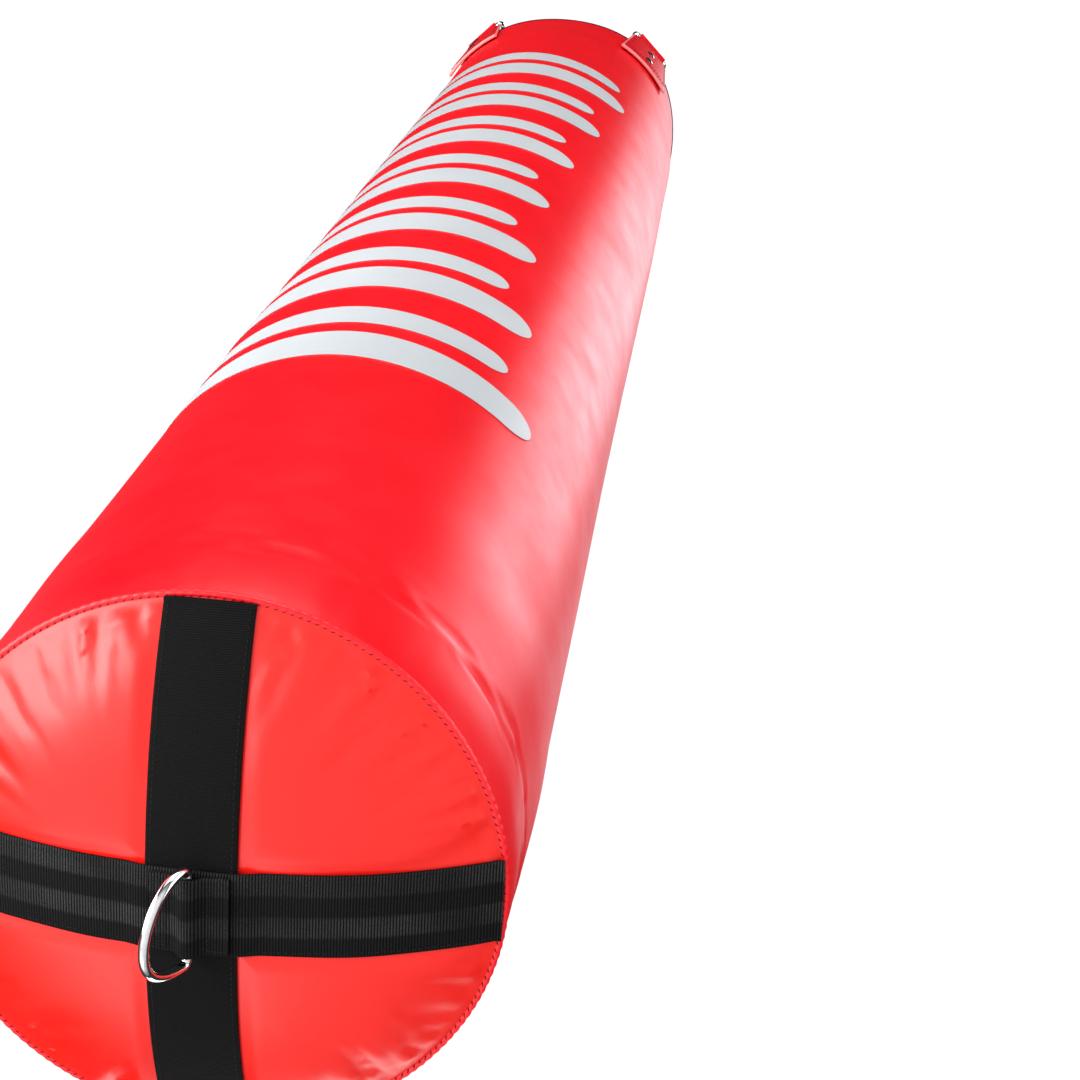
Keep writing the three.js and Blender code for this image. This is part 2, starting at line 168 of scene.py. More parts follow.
def rod(points, radius, closed=False, sides=12):
    """A round wire through points, made as a curve with a round section."""
    deselect()
    bpy.ops.curve.primitive_bezier_curve_add()
    obj = bpy.context.object
    curve = obj.data
    curve.splines.clear()
    spline = curve.splines.new("POLY")
    spline.points.add(len(points) - 1)
    for point, place in zip(spline.points, points):
        point.co = (*place, 1)
    spline.use_cyclic_u = closed
    curve.dimensions = "3D"
    curve.bevel_depth = radius
    curve.bevel_resolution = sides // 2 - 1
    curve.use_fill_caps = not closed
    active(obj)
    bpy.ops.object.convert(target="MESH")
    obj = bpy.context.object
    outwards(obj)
    return obj


def grid(columns, rows, place):
    """A flat grid bent to shape: place(u, v) gives the point at u, v in 0 to 1."""
    deselect()
    bpy.ops.mesh.primitive_grid_add(x_subdivisions=columns, y_subdivisions=rows, size=1)
    obj = bpy.context.object
    for vertex in obj.data.vertices:
        vertex.co = place(vertex.co.x + 0.5, vertex.co.y + 0.5)
    return obj


def slab(low, high, bevel=0.0, segments=2):
    """A block between two corners, with its edges rounded."""
    deselect()
    centre = [(a + b) / 2 for a, b in zip(low, high)]
    bpy.ops.mesh.primitive_cube_add(size=1, location=centre)
    obj = bpy.context.object
    obj.scale = [b - a for a, b in zip(low, high)]
    bpy.ops.object.transform_apply(location=True, rotation=True, scale=True)
    if bevel:
        bpy.ops.object.mode_set(mode="EDIT")
        bpy.ops.mesh.select_all(action="SELECT")
        bpy.ops.mesh.bevel(offset=bevel, segments=segments, affect="EDGES")
        bpy.ops.object.mode_set(mode="OBJECT")
    return obj


def thicken(obj, thickness, offset=-1.0, bevel=0.0):
    active(obj)
    wall = obj.modifiers.new("wall", "SOLIDIFY")
    wall.thickness = thickness
    wall.offset = offset
    wall.use_even_offset = True
    bpy.ops.object.modifier_apply(modifier=wall.name)
    if bevel:
        edge = obj.modifiers.new("edge", "BEVEL")
        edge.width = bevel
        edge.segments = 3
        edge.limit_method = "ANGLE"
        edge.angle_limit = math.radians(50)
        bpy.ops.object.modifier_apply(modifier=edge.name)
    return obj


def joined(parts):
    deselect()
    for part in parts:
        part.select_set(True)
    bpy.context.view_layer.objects.active = parts[0]
    bpy.ops.object.join()
    return bpy.context.object


def copies(source, places):
    """One mesh from a copy of the source at each place."""
    made = []
    for place in places:
        copy = source.copy()
        copy.data = source.data.copy()
        copy.data.transform(place)
        bpy.context.collection.objects.link(copy)
        made.append(copy)
    bpy.data.objects.remove(source)
    return joined(made)


def forged(parts, voxel, rounds=6):
    """Joins rods and turned shapes into one body with blended corners, as forging leaves them."""
    obj = joined(parts)
    remesh = obj.modifiers.new("blend", "REMESH")
    remesh.mode = "VOXEL"
    remesh.voxel_size = voxel
    soften = obj.modifiers.new("soften", "SMOOTH")
    soften.iterations = rounds
    active(obj)
    for modifier in list(obj.modifiers):
        bpy.ops.object.modifier_apply(modifier=modifier.name)
    return obj


def frame_of(x, y, z, at):
    """A placing matrix from three directions and a point."""
    made = Matrix((x, y, z)).transposed().to_4x4()
    made.translation = at
    return made


# ---- Shader effects shared by materials ----


class Nodes:
    """Short calls for building a node tree."""

    def __init__(self, tree):
        self.tree = tree

    def add(self, kind, inputs=None, **settings):
        node = self.tree.nodes.new(kind)
        for name, value in settings.items():
            setattr(node, name, value)
        for name, value in (inputs or {}).items():
            socket = node.inputs[name]
            if isinstance(value, bpy.types.NodeSocket):
                self.tree.links.new(value, socket)
            else:
                socket.default_value = value
        return node

    def math(self, operation, a, b=0.5):
        node = self.add("ShaderNodeMath", operation=operation)
        for socket, value in zip(node.inputs, (a, b)):
            if isinstance(value, bpy.types.NodeSocket):
                self.tree.links.new(value, socket)
            else:
                socket.default_value = value
        return node.outputs[0]

    def ramp(self, value, low, high, start=0.0, end=1.0):
        node = self.add(
            "ShaderNodeMapRange",
            {"Value": value, "From Min": low, "From Max": high, "To Min": start, "To Max": end},
        )
        return node.outputs["Result"]

    def tint(self, factor, dark, light):
        node = self.add("ShaderNodeMix", {"Factor": factor}, data_type="RGBA")
        for socket, value in ((node.inputs[6], dark), (node.inputs[7], light)):
            if isinstance(value, bpy.types.NodeSocket):
                self.tree.links.new(value, socket)
            else:
                socket.default_value = (*value, 1)
        return node.outputs[2]

    def noise(self, vector, scale, detail=2.0, roughness=0.5):
        inputs = {"Vector": vector, "Scale": scale, "Detail": detail, "Roughness": roughness}
        return self.add("ShaderNodeTexNoise", inputs).outputs["Fac"]


def effect(name, inputs, outputs):
    """An empty node group with named inputs and outputs."""
    tree = bpy.data.node_groups.new(name, "ShaderNodeTree")
    for label, kind, value in inputs:
        socket = tree.interface.new_socket(label, in_out="INPUT", socket_type=kind)
        if value is not None:
            socket.default_value = value
    for label in outputs:
        tree.interface.new_socket(label, in_out="OUTPUT", socket_type="NodeSocketFloat")
    nodes = Nodes(tree)
    return tree, nodes, nodes.add("NodeGroupInput"), nodes.add("NodeGroupOutput")


def vinyl_grain():
    """Fine pebbled grain, soft clouding of the colour and faint rubbed patches."""
    inputs = [
        ("Vector", "NodeSocketVector", None),
        ("Grain Scale", "NodeSocketFloat", 900.0),
        ("Cloud Scale", "NodeSocketFloat", 5.0),
    ]
    tree, nodes, given, out = effect("vinyl_grain", inputs, ["Height", "Cloud", "Rub"])
    place, scale = given.outputs["Vector"], given.outputs["Grain Scale"]
    cells = nodes.add("ShaderNodeTexVoronoi", {"Vector": place, "Scale": scale}, feature="SMOOTH_F1")
    fibre = nodes.noise(place, nodes.math("MULTIPLY", scale, 0.35), 4.0, 0.6)
    height = nodes.math("ADD", nodes.math("MULTIPLY", cells.outputs["Distance"], 0.6), fibre)
    cloud = nodes.noise(place, given.outputs["Cloud Scale"], 3.0)
    rub = nodes.noise(place, nodes.math("MULTIPLY", given.outputs["Cloud Scale"], 4.0), 5.0, 0.65)
    for label, value in (("Height", height), ("Cloud", cloud), ("Rub", rub)):
        tree.links.new(value, out.inputs[label])
    return tree


def weave():
    """Yarns of a woven band: fine ribs along it and picks across it, the picks' crests painted lighter as
    sheen.
    """
    inputs = [
        ("Along", "NodeSocketFloat", 0.0),
        ("Across", "NodeSocketFloat", 0.0),
        ("Pick", "NodeSocketFloat", 0.0012),
        ("Rib", "NodeSocketFloat", 0.0016),
        ("Vector", "NodeSocketVector", None),
    ]
    tree, nodes, given, out = effect("weave", inputs, ["Height", "Fuzz", "Crest Sheen"])
    turn = 2 * math.pi
    along = nodes.math("DIVIDE", given.outputs["Along"], given.outputs["Pick"])
    across = nodes.math("DIVIDE", given.outputs["Across"], given.outputs["Rib"])
    pick = nodes.math("SINE", nodes.math("MULTIPLY", along, turn))
    rib = nodes.math("SINE", nodes.math("MULTIPLY", across, turn))
    raised = nodes.math("ADD", nodes.math("MULTIPLY", pick, 0.5), nodes.math("MULTIPLY", rib, 0.3))
    fuzz = nodes.noise(given.outputs["Vector"], 900.0, 4.0, 0.7)
    # Painted sheen: the crests of the picks are lighter, varied by the fuzz.
    crest_sheen = nodes.math("MULTIPLY", nodes.ramp(pick, -0.9, 0.8), nodes.ramp(fuzz, 0.25, 0.6, 0.35, 1.0))
    tree.links.new(nodes.math("ADD", raised, fuzz), out.inputs["Height"])
    tree.links.new(fuzz, out.inputs["Fuzz"])
    tree.links.new(crest_sheen, out.inputs["Crest Sheen"])
    return tree


def metal_wear():
    """Fine scratches and cloudy dulling of a plated or forged surface."""
    inputs = [("Vector", "NodeSocketVector", None), ("Scale", "NodeSocketFloat", 120.0)]
    tree, nodes, given, out = effect("metal_wear", inputs, ["Height", "Dull"])
    place, scale = given.outputs["Vector"], given.outputs["Scale"]
    stretched = nodes.add("ShaderNodeMapping", {"Vector": place, "Scale": (1.0, 1.0, 9.0)})
    scratch = nodes.noise(stretched.outputs["Vector"], nodes.math("MULTIPLY", scale, 4.0), 3.0)
    dull = nodes.noise(place, scale, 4.0, 0.6)
    tree.links.new(scratch, out.inputs["Height"])
    tree.links.new(dull, out.inputs["Dull"])
    return tree


GRAIN, WEAVE, WEAR = vinyl_grain(), weave(), metal_wear()

# ---- Materials ----


def material(name, **constants):
    made = bpy.data.materials.new(name)
    made.use_nodes = True
    nodes = Nodes(made.node_tree)
    shader = made.node_tree.nodes["Principled BSDF"]
    for label, value in constants.items():
        shader.inputs[label.replace("_", " ").title().replace("Ior", "IOR")].default_value = value
    place = nodes.add("ShaderNodeTexCoord").outputs["Object"]
    return made, nodes, shader, place


def feed(nodes, shader, colour=None, roughness=None, height=None, bump=0.3, depth=0.0002):
    links = nodes.tree.links
    if colour is not None:
        links.new(colour, shader.inputs["Base Color"])
    if roughness is not None:
        links.new(roughness, shader.inputs["Roughness"])
    if height is not None:
        inputs = {"Height": height, "Strength": bump, "Distance": depth}
        links.new(nodes.add("ShaderNodeBump", inputs).outputs["Normal"], shader.inputs["Normal"])


def vinyl(name, dark, light, gloss, grain=900.0, bump=0.25):
    made, nodes, shader, place = material(name)
    group = nodes.add("ShaderNodeGroup", node_tree=GRAIN)
    nodes.tree.links.new(place, group.inputs["Vector"])
    group.inputs["Grain Scale"].default_value = grain
    cloud = nodes.ramp(group.outputs["Cloud"], 0.3, 0.7)
    colour = nodes.tint(cloud, dark, light)
    roughness = nodes.ramp(group.outputs["Rub"], 0.3, 0.7, gloss - 0.04, gloss + 0.06)
    feed(nodes, shader, colour, roughness, group.outputs["Height"], bump, 0.00012)
    return made


def band(name, along, across, dark, light, pick, rib, turn=0.0, sheen_stripes=0, bump=0.5):
    """Woven band. along and across are axis numbers after the pattern is turned about Z."""
    made, nodes, shader, place = material(name)
    shader.inputs["Specular IOR Level"].default_value = 0.06
    turned_place = nodes.add("ShaderNodeMapping", {"Vector": place, "Rotation": (0, 0, turn)})
    split = nodes.add("ShaderNodeSeparateXYZ", {"Vector": turned_place.outputs["Vector"]})
    group = nodes.add("ShaderNodeGroup", node_tree=WEAVE)
    links = nodes.tree.links
    links.new(split.outputs[along], group.inputs["Along"])
    links.new(split.outputs[across], group.inputs["Across"])
    links.new(place, group.inputs["Vector"])
    group.inputs["Pick"].default_value = pick
    group.inputs["Rib"].default_value = rib
    # The tone is painted sheen: lighter on the crests of the picks, varied by fuzz.
    tone = group.outputs["Crest Sheen"]
    # Stripes along the band, darker between them and lighter in noisy patches: painted sheen.
    if sheen_stripes:
        share = nodes.math("MULTIPLY", split.outputs[across], sheen_stripes * math.pi / STRAP_WIDTH)
        patchy_sheen = nodes.math("MULTIPLY", nodes.noise(place, 25.0, 2.0), 1.2)
        sheen_stripe = nodes.ramp(nodes.math("SINE", share), -0.25, 0.25, 0.22, patchy_sheen)
        tone = nodes.math("MULTIPLY", tone, sheen_stripe)
    colour = nodes.tint(tone, dark, light)
    roughness = nodes.ramp(group.outputs["Fuzz"], 0.3, 0.7, 0.55, 0.85)
    feed(nodes, shader, colour, roughness, group.outputs["Height"], bump, 0.00025)
    return made


def metal(name, dark, light, low, high, bump=0.05, scale=120.0):
    made, nodes, shader, place = material(name, metallic=1.0)
    group = nodes.add("ShaderNodeGroup", node_tree=WEAR)
    nodes.tree.links.new(place, group.inputs["Vector"])
    group.inputs["Scale"].default_value = scale
    dull = nodes.ramp(group.outputs["Dull"], 0.35, 0.7)
    colour = nodes.tint(dull, light, dark)
    roughness = nodes.ramp(group.outputs["Dull"], 0.35, 0.75, low, high)
    feed(nodes, shader, colour, roughness, group.outputs["Height"], bump, 0.0001)
    return made


def soft_stuff(name, dark, light, scale):
    """Foam, felt, sacking and thread: a dull, loose surface."""
    made, nodes, shader, place = material(name, roughness=0.9)
    shader.inputs["Specular IOR Level"].default_value = 0.25
    tuft = nodes.noise(place, scale, 5.0, 0.65)
    colour = nodes.tint(nodes.ramp(tuft, 0.35, 0.65), dark, light)
    feed(nodes, shader, colour, nodes.ramp(tuft, 0.3, 0.7, 0.8, 0.98), tuft, 0.5, 0.0006)
    return made


COVER_VINYL = vinyl("glossy_red_vinyl", (0.88, 0.0005, 0.007), (0.95, 0.0009, 0.009), 0.37)
PANEL_VINYL = vinyl("orange_red_vinyl", (0.88, 0.007, 0.003), (0.95, 0.011, 0.005), 0.34)
PATCH_VINYL = vinyl("patch_vinyl", (0.74, 0.002, 0.009), (0.84, 0.003, 0.012), 0.40)
# The piping is red vinyl lightened to pink: a painted highlight on its glossy rolled edge.
PIPING_PAINTED_HIGHLIGHT = vinyl("piping_vinyl", (0.92, 0.22, 0.21), (0.97, 0.34, 0.32), 0.26, 900.0, 0.1)
PRINT = vinyl("grey_print_ink", (0.55, 0.58, 0.605), (0.60, 0.63, 0.655), 0.40, 700.0, 0.12)
SMOOTH_BAND = band(
    "fine_black_webbing", 1, 0, (0.002, 0.002, 0.002), (0.010, 0.009, 0.009), 0.0011, 0.0014
)
# The coarse band's light tone is painted sheen on its pick crests and stripes.
RIBBED_BAND = band(
    "coarse_black_webbing_painted_sheen", 0, 1, (0.001, 0.001, 0.001), (0.062, 0.062, 0.064),
    0.0016, 0.0022, sheen_stripes=4, bump=0.9,
)
ZIP_BAND = band("zip_tape_cloth", 1, 0, (0.007, 0.007, 0.008), (0.022, 0.022, 0.024), 0.0008, 0.0008)
BINDING = band("dark_binding_tape", 2, 0, (0.012, 0.003, 0.004), (0.03, 0.006, 0.007), 0.0009, 0.0012)
CHROME = metal("bright_chrome", (0.70, 0.71, 0.72), (0.86, 0.87, 0.88), 0.05, 0.16)
CHAIN_STEEL = metal("plated_chain", (0.58, 0.59, 0.60), (0.80, 0.81, 0.82), 0.12, 0.28, 0.12, 300.0)
FORGED = metal("swivel_forging", (0.42, 0.43, 0.44), (0.66, 0.67, 0.68), 0.22, 0.42, 0.25, 220.0)
BEARING = metal("bearing_race", (0.40, 0.40, 0.41), (0.58, 0.58, 0.59), 0.2, 0.36, 0.1, 260.0)
ZIP_METAL = metal("zip_alloy", (0.40, 0.41, 0.42), (0.62, 0.63, 0.65), 0.2, 0.38, 0.1, 400.0)
RED_THREAD = soft_stuff("red_thread", (0.30, 0.006, 0.010), (0.55, 0.02, 0.02), 3000.0)
DARK_THREAD = soft_stuff("dark_red_thread", (0.10, 0.004, 0.006), (0.22, 0.010, 0.012), 3000.0)
BLACK_THREAD = soft_stuff("black_thread", (0.003, 0.003, 0.003), (0.016, 0.016, 0.017), 3000.0)
FOAM = soft_stuff("foam_padding", (0.56, 0.52, 0.43), (0.74, 0.70, 0.61), 300.0)
SACKING = soft_stuff("sacking", (0.36, 0.32, 0.25), (0.52, 0.47, 0.38), 500.0)
RAGS = soft_stuff("rag_filling", (0.12, 0.12, 0.14), (0.42, 0.40, 0.38), 40.0)


def piece(obj, name, finish, body, slot, *nodes, angle=40):
    """The last step of each piece: place applied, material, body and the CAD node it stands for. The slot is
    not used.
    """
    finished(obj, name, angle)
    obj.data.materials.clear()
    obj.data.materials.append(finish)
    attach(obj, body)
    if nodes:
        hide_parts(*nodes)
    return obj


# ---- Camera ----


def camera():
    deselect()
    eye = Vector((0.278, -0.695, SEAM_Z - 1.192))
    ahead = Vector((-0.0832, 0.3753, 0.9232)).normalized()
    up = Vector((-0.0908, -0.9255, 0.368))
    right = ahead.cross(up).normalized()
    up = right.cross(ahead)
    bpy.ops.object.camera_add(location=eye)
    made = bpy.context.object
    made.matrix_world = frame_of(right, up, -ahead, eye)
    made.data.lens = 84.13
    made.data.sensor_width = 36
    made.data.clip_start = 0.01
    bpy.context.scene.camera = made


# ---- The bag's skin ----


def ripple(angle, z):
    """Broad unevenness of a stuffed bag, calm at the rim, metres outwards."""
    at = Vector((math.cos(angle) * 1.4, math.sin(angle) * 1.4, z * 2.6))
    calm = smooth((RIM_Z - z - 0.10) / 0.25) * smooth((z - SEAM_Z - 0.02) / 0.2)
    rise = z - SEAM_Z
    dent = Vector((math.cos(angle) * 1.9, math.sin(angle) * 1.9, z * 9.0 + 5.0))
    dented = smooth((rise - 0.010) / 0.05) * smooth((0.26 - rise) / 0.16)
    return 0.0016 * noise.noise(at) * calm + 0.0020 * noise.noise(dent) * dented


def rim_pull(angle, z):
    """The tabs pull the rim out of round: it lies flatter between them, metres inwards."""
    return smooth((z - RIM_Z + 0.14) / 0.14) * (0.0008 + 0.0030 * math.cos(4 * angle))


def skin_r(angle, z):
    return cone_r(z) + ripple(angle, z) - rim_pull(angle, z)


def follow_rim(obj):
    """Pulls a round piece of the zipped top in where the rim lies flatter."""
    for vertex in obj.data.vertices:
        at = vertex.co
        angle = math.atan2(at.x, -at.y)
        share = 1 - rim_pull(angle, RIM_Z) / RIM_R * (at.xy.length / RIM_R) ** 2
        vertex.co = Vector((at.x * share, at.y * share, at.z))


def on_skin(angle, z, lift=0.0):
    """A point on the cover: angle from the front (-Y) towards +X."""
    r = skin_r(angle, z) + lift
    return Vector((r * math.sin(angle), -r * math.cos(angle), z))


def creases(angle, depth, seed):
    """Pleats that run away from the bottom seam, 1 at their crests, fading with depth from it."""
    at = Vector((math.cos(angle) * 6.0, math.sin(angle) * 6.0, seed))
    long_at = Vector((math.cos(angle) * 13.0, math.sin(angle) * 13.0, seed + 4.0 + depth * 9.0))
    strength = 0.35 + 0.65 * smooth(0.5 + noise.noise(at * 0.35) * 1.6)
    return noise.noise(long_at) * strength * math.exp(-depth / 0.035) * smooth(depth / 0.008)


def puckers(angle, depth):
    """Sharp little folds where the panel's edge is gathered into the seam, slanting as they run in."""
    turn = angle + 2.2 * depth
    along = Vector((math.cos(turn) * 12.0, math.sin(turn) * 12.0, 21.0 + depth * 2.0))
    crest = 1 - min(abs(noise.noise(along)) * 2.4, 1.0)
    strength = 0.15
    for centre, spread in ((42, 16), (-24, 9), (14, 5), (70, 6), (138, 14), (-150, 18), (-95, 8)):
        away = (math.degrees(angle) - centre + 180) % 360 - 180
        strength += math.exp(-((away / spread) ** 2))
    return crest**2 * strength * math.exp(-((depth / 0.038) ** 2)) * smooth(depth / 0.006)


def inflate(obj, loose, swell, pressure, cap, sink=0.0009, steps=14):
    """Stuffs the fabric: it is a little too large for its seam, so pressure buckles it there."""
    rest = [v.co.copy() for v in obj.data.vertices]
    outward = [v.normal.copy() for v in obj.data.vertices]
    held = obj.vertex_groups.new(name="held")
    for i, at in enumerate(rest):
        held.add([i], 1.0 - loose(at), "REPLACE")
    active(obj)
    cloth = obj.modifiers.new("stuffing", "CLOTH")
    settings = cloth.settings
    settings.quality = 4
    settings.mass = 0.2
    settings.tension_stiffness = 40
    settings.compression_stiffness = 40
    settings.shear_stiffness = 15
    settings.bending_stiffness = 0.8
    settings.vertex_group_mass = held.name
    settings.shrink_min = -swell
    settings.use_pressure = True
    settings.uniform_pressure_force = pressure
    settings.effector_weights.gravity = 0
    cloth.collision_settings.use_collision = False
    cloth.point_cache.frame_end = steps
    for frame_number in range(1, steps + 1):
        bpy.context.scene.frame_set(frame_number)
    moved = obj.evaluated_get(bpy.context.evaluated_depsgraph_get())
    ends = [v.co.copy() for v in moved.data.vertices]
    obj.modifiers.remove(cloth)
    obj.vertex_groups.remove(held)
    bpy.context.scene.frame_set(1)
    for vertex, start, end, out in zip(obj.data.vertices, rest, ends, outward):
        step = end - start
        if step.length > cap:
            step *= cap / step.length
        if step.dot(out) < -sink:
            step *= sink / -step.dot(out)
        vertex.co = start + step


def tuck_in(rise):
    """How far the cover is pulled in at a height over the seam."""
    near = 1 - min(rise / TUCK_HEIGHT, 1)
    far = 1 - min(rise / (4.5 * TUCK_HEIGHT), 1)
    return TUCK * (0.55 * near**2.4 + 0.45 * far**2)


def cover():
    rises = [0.0]
    step = 0.0022
    while rises[-1] < RIM_Z - SEAM_Z - 0.02:
        rises.append(rises[-1] + step)
        step = min(step * 1.055, 0.020)
    rises = [r for r in rises if r < RIM_Z - SEAM_Z - 0.004] + [RIM_Z - SEAM_Z]
    profile = [(cone_r(SEAM_Z) - TUCK - 0.004, SEAM_Z + 0.003)]
    profile += [(cone_r(SEAM_Z + r) - tuck_in(r), SEAM_Z + r) for r in rises]
    obj = turned(profile, 288)
    for vertex in obj.data.vertices:
        at = vertex.co
        angle = math.atan2(at.x, -at.y)
        depth = at.z - SEAM_Z
        out = Vector((at.x, at.y, 0)).normalized()
        lap = 0.0008 * smooth((0.008 - abs(math.pi - abs(angle)) * at.xy.length) / 0.002)
        pull = rim_pull(angle, at.z)
        vertex.co = at + out * (ripple(angle, at.z) + lap - pull + 0.0006 * creases(angle, depth, 2.0))
    face_from(obj, Vector((0, 0, (SEAM_Z + RIM_Z) / 2)))
    top = SEAM_Z + CREASED

    def loose(at):
        return smooth((at.z - SEAM_Z - 0.010) / 0.08) * smooth((top - at.z) / 0.15)

    inflate(obj, loose, 0.0012, 12, 0.0010)
    thicken(obj, VINYL, -1.0)
    piece(obj, "cover_skin", COVER_VINYL, "bag", "cover_vinyl", "cover_tube")
    return obj


def dome_z(r):
    """Outside of the bottom panel."""
    share = min(r / DOME_R, 1.0)
    return SEAM_Z - GAP - VINYL - DOME_RISE * (1 - share**DOME_POWER)


def strap_hold(x, y):
    """1 under the bottom straps, 0 clear of them."""
    near = max(
        smooth((STRAP_WIDTH / 2 + 0.010 - abs(x)) / 0.012),
        smooth((STRAP_WIDTH / 2 + 0.010 - abs(y)) / 0.012),
    )
    return near


def bottom_panel():
    rings = 46
    profile = [(DOME_R - 0.008, SEAM_Z + 0.0022), (DOME_R - 0.002, SEAM_Z + 0.0008)]
    for i in range(rings):
        share = 1 - i / rings
        r = (DOME_R + 0.0006) * math.sin(share * math.pi / 2)
        profile.append((r, dome_z(r)))
    profile.append((0, dome_z(0)))
    obj = turned(profile, 256)
    base = [v.co.copy() for v in obj.data.vertices]
    for vertex, at in zip(obj.data.vertices, base):
        angle = math.atan2(at.x, -at.y)
        depth = max(DOME_R - 0.001 - at.xy.length, 0)
        if at.z < SEAM_Z - 0.001:
            fold = 0.0050 * creases(angle, depth, 9.0) + 0.0024 * puckers(angle, depth)
            vertex.co = at - Vector((0, 0, fold))
    face_from(obj, Vector((0, 0, SEAM_Z + 0.5)))

    def loose(at):
        edge = smooth((DOME_R - 0.003 - at.xy.length) / 0.006)
        return edge if at.z < SEAM_Z - 0.001 else 0.0

    inflate(obj, loose, 0.009, 34, 0.004)
    for vertex, at in zip(obj.data.vertices, base):
        share = strap_hold(at.x, at.y) * smooth((DOME_R - 0.002 - at.xy.length) / 0.01)
        vertex.co = vertex.co.lerp(at, share)
    thicken(obj, VINYL, -1.0)
    piece(obj, "bottom_panel_skin", PANEL_VINYL, "bag", "panel_vinyl", "bottom_panel")
    return obj


# ---- Stitching ----


def stitch(length, radius):
    """One thread loop along X, rounded down into the cloth at its ends."""
    deselect()
    bpy.ops.mesh.primitive_cylinder_add(vertices=6, radius=radius, depth=length, end_fill_type="TRIFAN")
    obj = bpy.context.object
    obj.rotation_euler = (0, math.pi / 2, 0)
    bpy.ops.object.transform_apply(location=True, rotation=True, scale=True)
    bpy.ops.object.mode_set(mode="EDIT")
    bpy.ops.mesh.select_all(action="SELECT")
    bpy.ops.mesh.subdivide(number_cuts=1)
    bpy.ops.object.mode_set(mode="OBJECT")
    for vertex in obj.data.vertices:
        share = abs(vertex.co.x) / (length / 2)
        vertex.co.y *= 1 - 0.45 * share**2
        vertex.co.z = vertex.co.z * (1 - 0.45 * share**2) - radius * 0.9 * share**2
    return obj


def run_of_stitches(line, pitch, length, radius, slant=0.0):
    """Stitches along a line of (point, outward normal) pairs, a pitch apart."""
    places = []
    left = pitch / 2
    for (a, normal_a), (b, normal_b) in zip(line, line[1:]):
        span = (b - a).length
        while left < span:
            at = a.lerp(b, left / span)
            up = normal_a.lerp(normal_b, left / span).normalized()
            along = (b - a).normalized()
            along = (along - up * along.dot(up)).normalized()
            if slant:
                along = Matrix.Rotation(slant, 3, up) @ along
            places.append(frame_of(along, up.cross(along), up, at))
            left += pitch
        left -= span
    return copies(stitch(length, radius), places)


def bottom_seam():
    """The welt in the seam's valley and the thread that whips over it."""
    count = 170
    welt = []
    for i in range(count * 4):
        angle = 2 * math.pi * i / (count * 4)
        pinch = 0.0002 * math.cos(2 * math.pi * i / 4)
        r = DOME_R + 0.0013 - pinch
        welt.append((r * math.sin(angle), -r * math.cos(angle), SEAM_Z - 0.0006 + pinch * 0.5))
    cord = rod(welt, 0.0022, closed=True, sides=10)
    piece(cord, "seam_welt", COVER_VINYL, "bag", "cover_vinyl", angle=60)
    line = []
    for i in range(361):
        angle = math.radians(i)
        out = Vector((math.sin(angle), -math.cos(angle), 0))
        up = (Vector((0, 0, -1)) - out * 0.45).normalized()
        line.append((out * (DOME_R + 0.0013) + Vector((0, 0, SEAM_Z - 0.0006)) + up * 0.0022, up))
    thread = run_of_stitches(line, 0.0046, 0.0034, 0.0005, slant=0.6)
    piece(thread, "seam_thread", DARK_THREAD, "bag", "cover_vinyl", angle=60)


def back_seam():
    """Two rows of stitches down the lapped seam at the back."""
    parts = []
    for side in (-1, 1):
        line = []
        for i in range(90):
            z = SEAM_Z + 0.03 + (RIM_Z - SEAM_Z - 0.05) * i / 89
            angle = math.pi + side * 0.0055 / cone_r(z)
            out = Vector((math.sin(angle), -math.cos(angle), 0))
            line.append((on_skin(angle, z, 0.0009), out))
        parts.append(run_of_stitches(line, 0.0070, 0.0048, 0.00045))
    piece(joined(parts), "back_seam_thread", RED_THREAD, "bag", "cover_vinyl", angle=60)


# ---- The print: plain bars that wrap round the front ----


def bar_outline(low, high, left, right, lean):
    """A bar with round ends between two heights over the seam, its ends at two angles."""
    middle, half = (low + high) / 2, (high - low) / 2
    length = (right - left) * cone_r(SEAM_Z + middle)

    def place(u, v):
        u = 0.5 - 0.5 * math.cos(math.pi * u)
        angle = left + (right - left) * u
        end = min(u, 1 - u) * length
        swell = 0.80 + 0.20 * math.sin(math.pi * u)
        width = math.sqrt(1 - (1 - min(end / (half * 0.8), 1)) ** 2)
        centre = middle + lean * math.sin((u - 0.5) * math.pi)
        height = SEAM_Z + centre + (v - 0.5) * 2 * half * swell * max(width, 0.1)
        return on_skin(angle, height, 0.00035)

    return place


def print_edge(z):
    """Where the print stops on the right, as an angle: wide at both ends, waisted between them."""
    low, waist, high = 0.36, 0.96, 1.62
    if z < waist:
        return math.radians(29 + 25 * ((waist - z) / (waist - low)) ** 1.6)
    return math.radians(29 + 19 * ((z - waist) / (high - waist)) ** 1.6)


def front_print():
    """Bars that wrap round the front, broad and narrow in turn."""
    parts = []
    heights = (0.425, 0.505, 0.602, 0.680, 0.778, 0.856, 0.952, 1.030, 1.126, 1.204, 1.300, 1.378, 1.474, 1.552)
    for i, low in enumerate(heights):
        broad = i % 2 == 0
        tall = 0.056 if broad else 0.040
        right = print_edge(low + tall / 2) - math.radians(0 if broad else 8)
        left = -math.radians(86 if broad else 74)
        parts.append(grid(120, 6, bar_outline(low, low + tall, left, right, -0.018)))
    obj = joined(parts)
    outwards(obj, 1e-7)
    thicken(obj, 0.00025, 1.0)
    piece(obj, "front_print_bars", PRINT, "bag", "front_print")


# ---- Bottom straps, keeper and tether ring ----


def strap_height(x, y, lift):
    """Outside of a strap laid on the panel, its ends going up into the seam."""
    r = math.hypot(x, y)
    return dome_z(min(r, DOME_R - 0.0012)) - lift


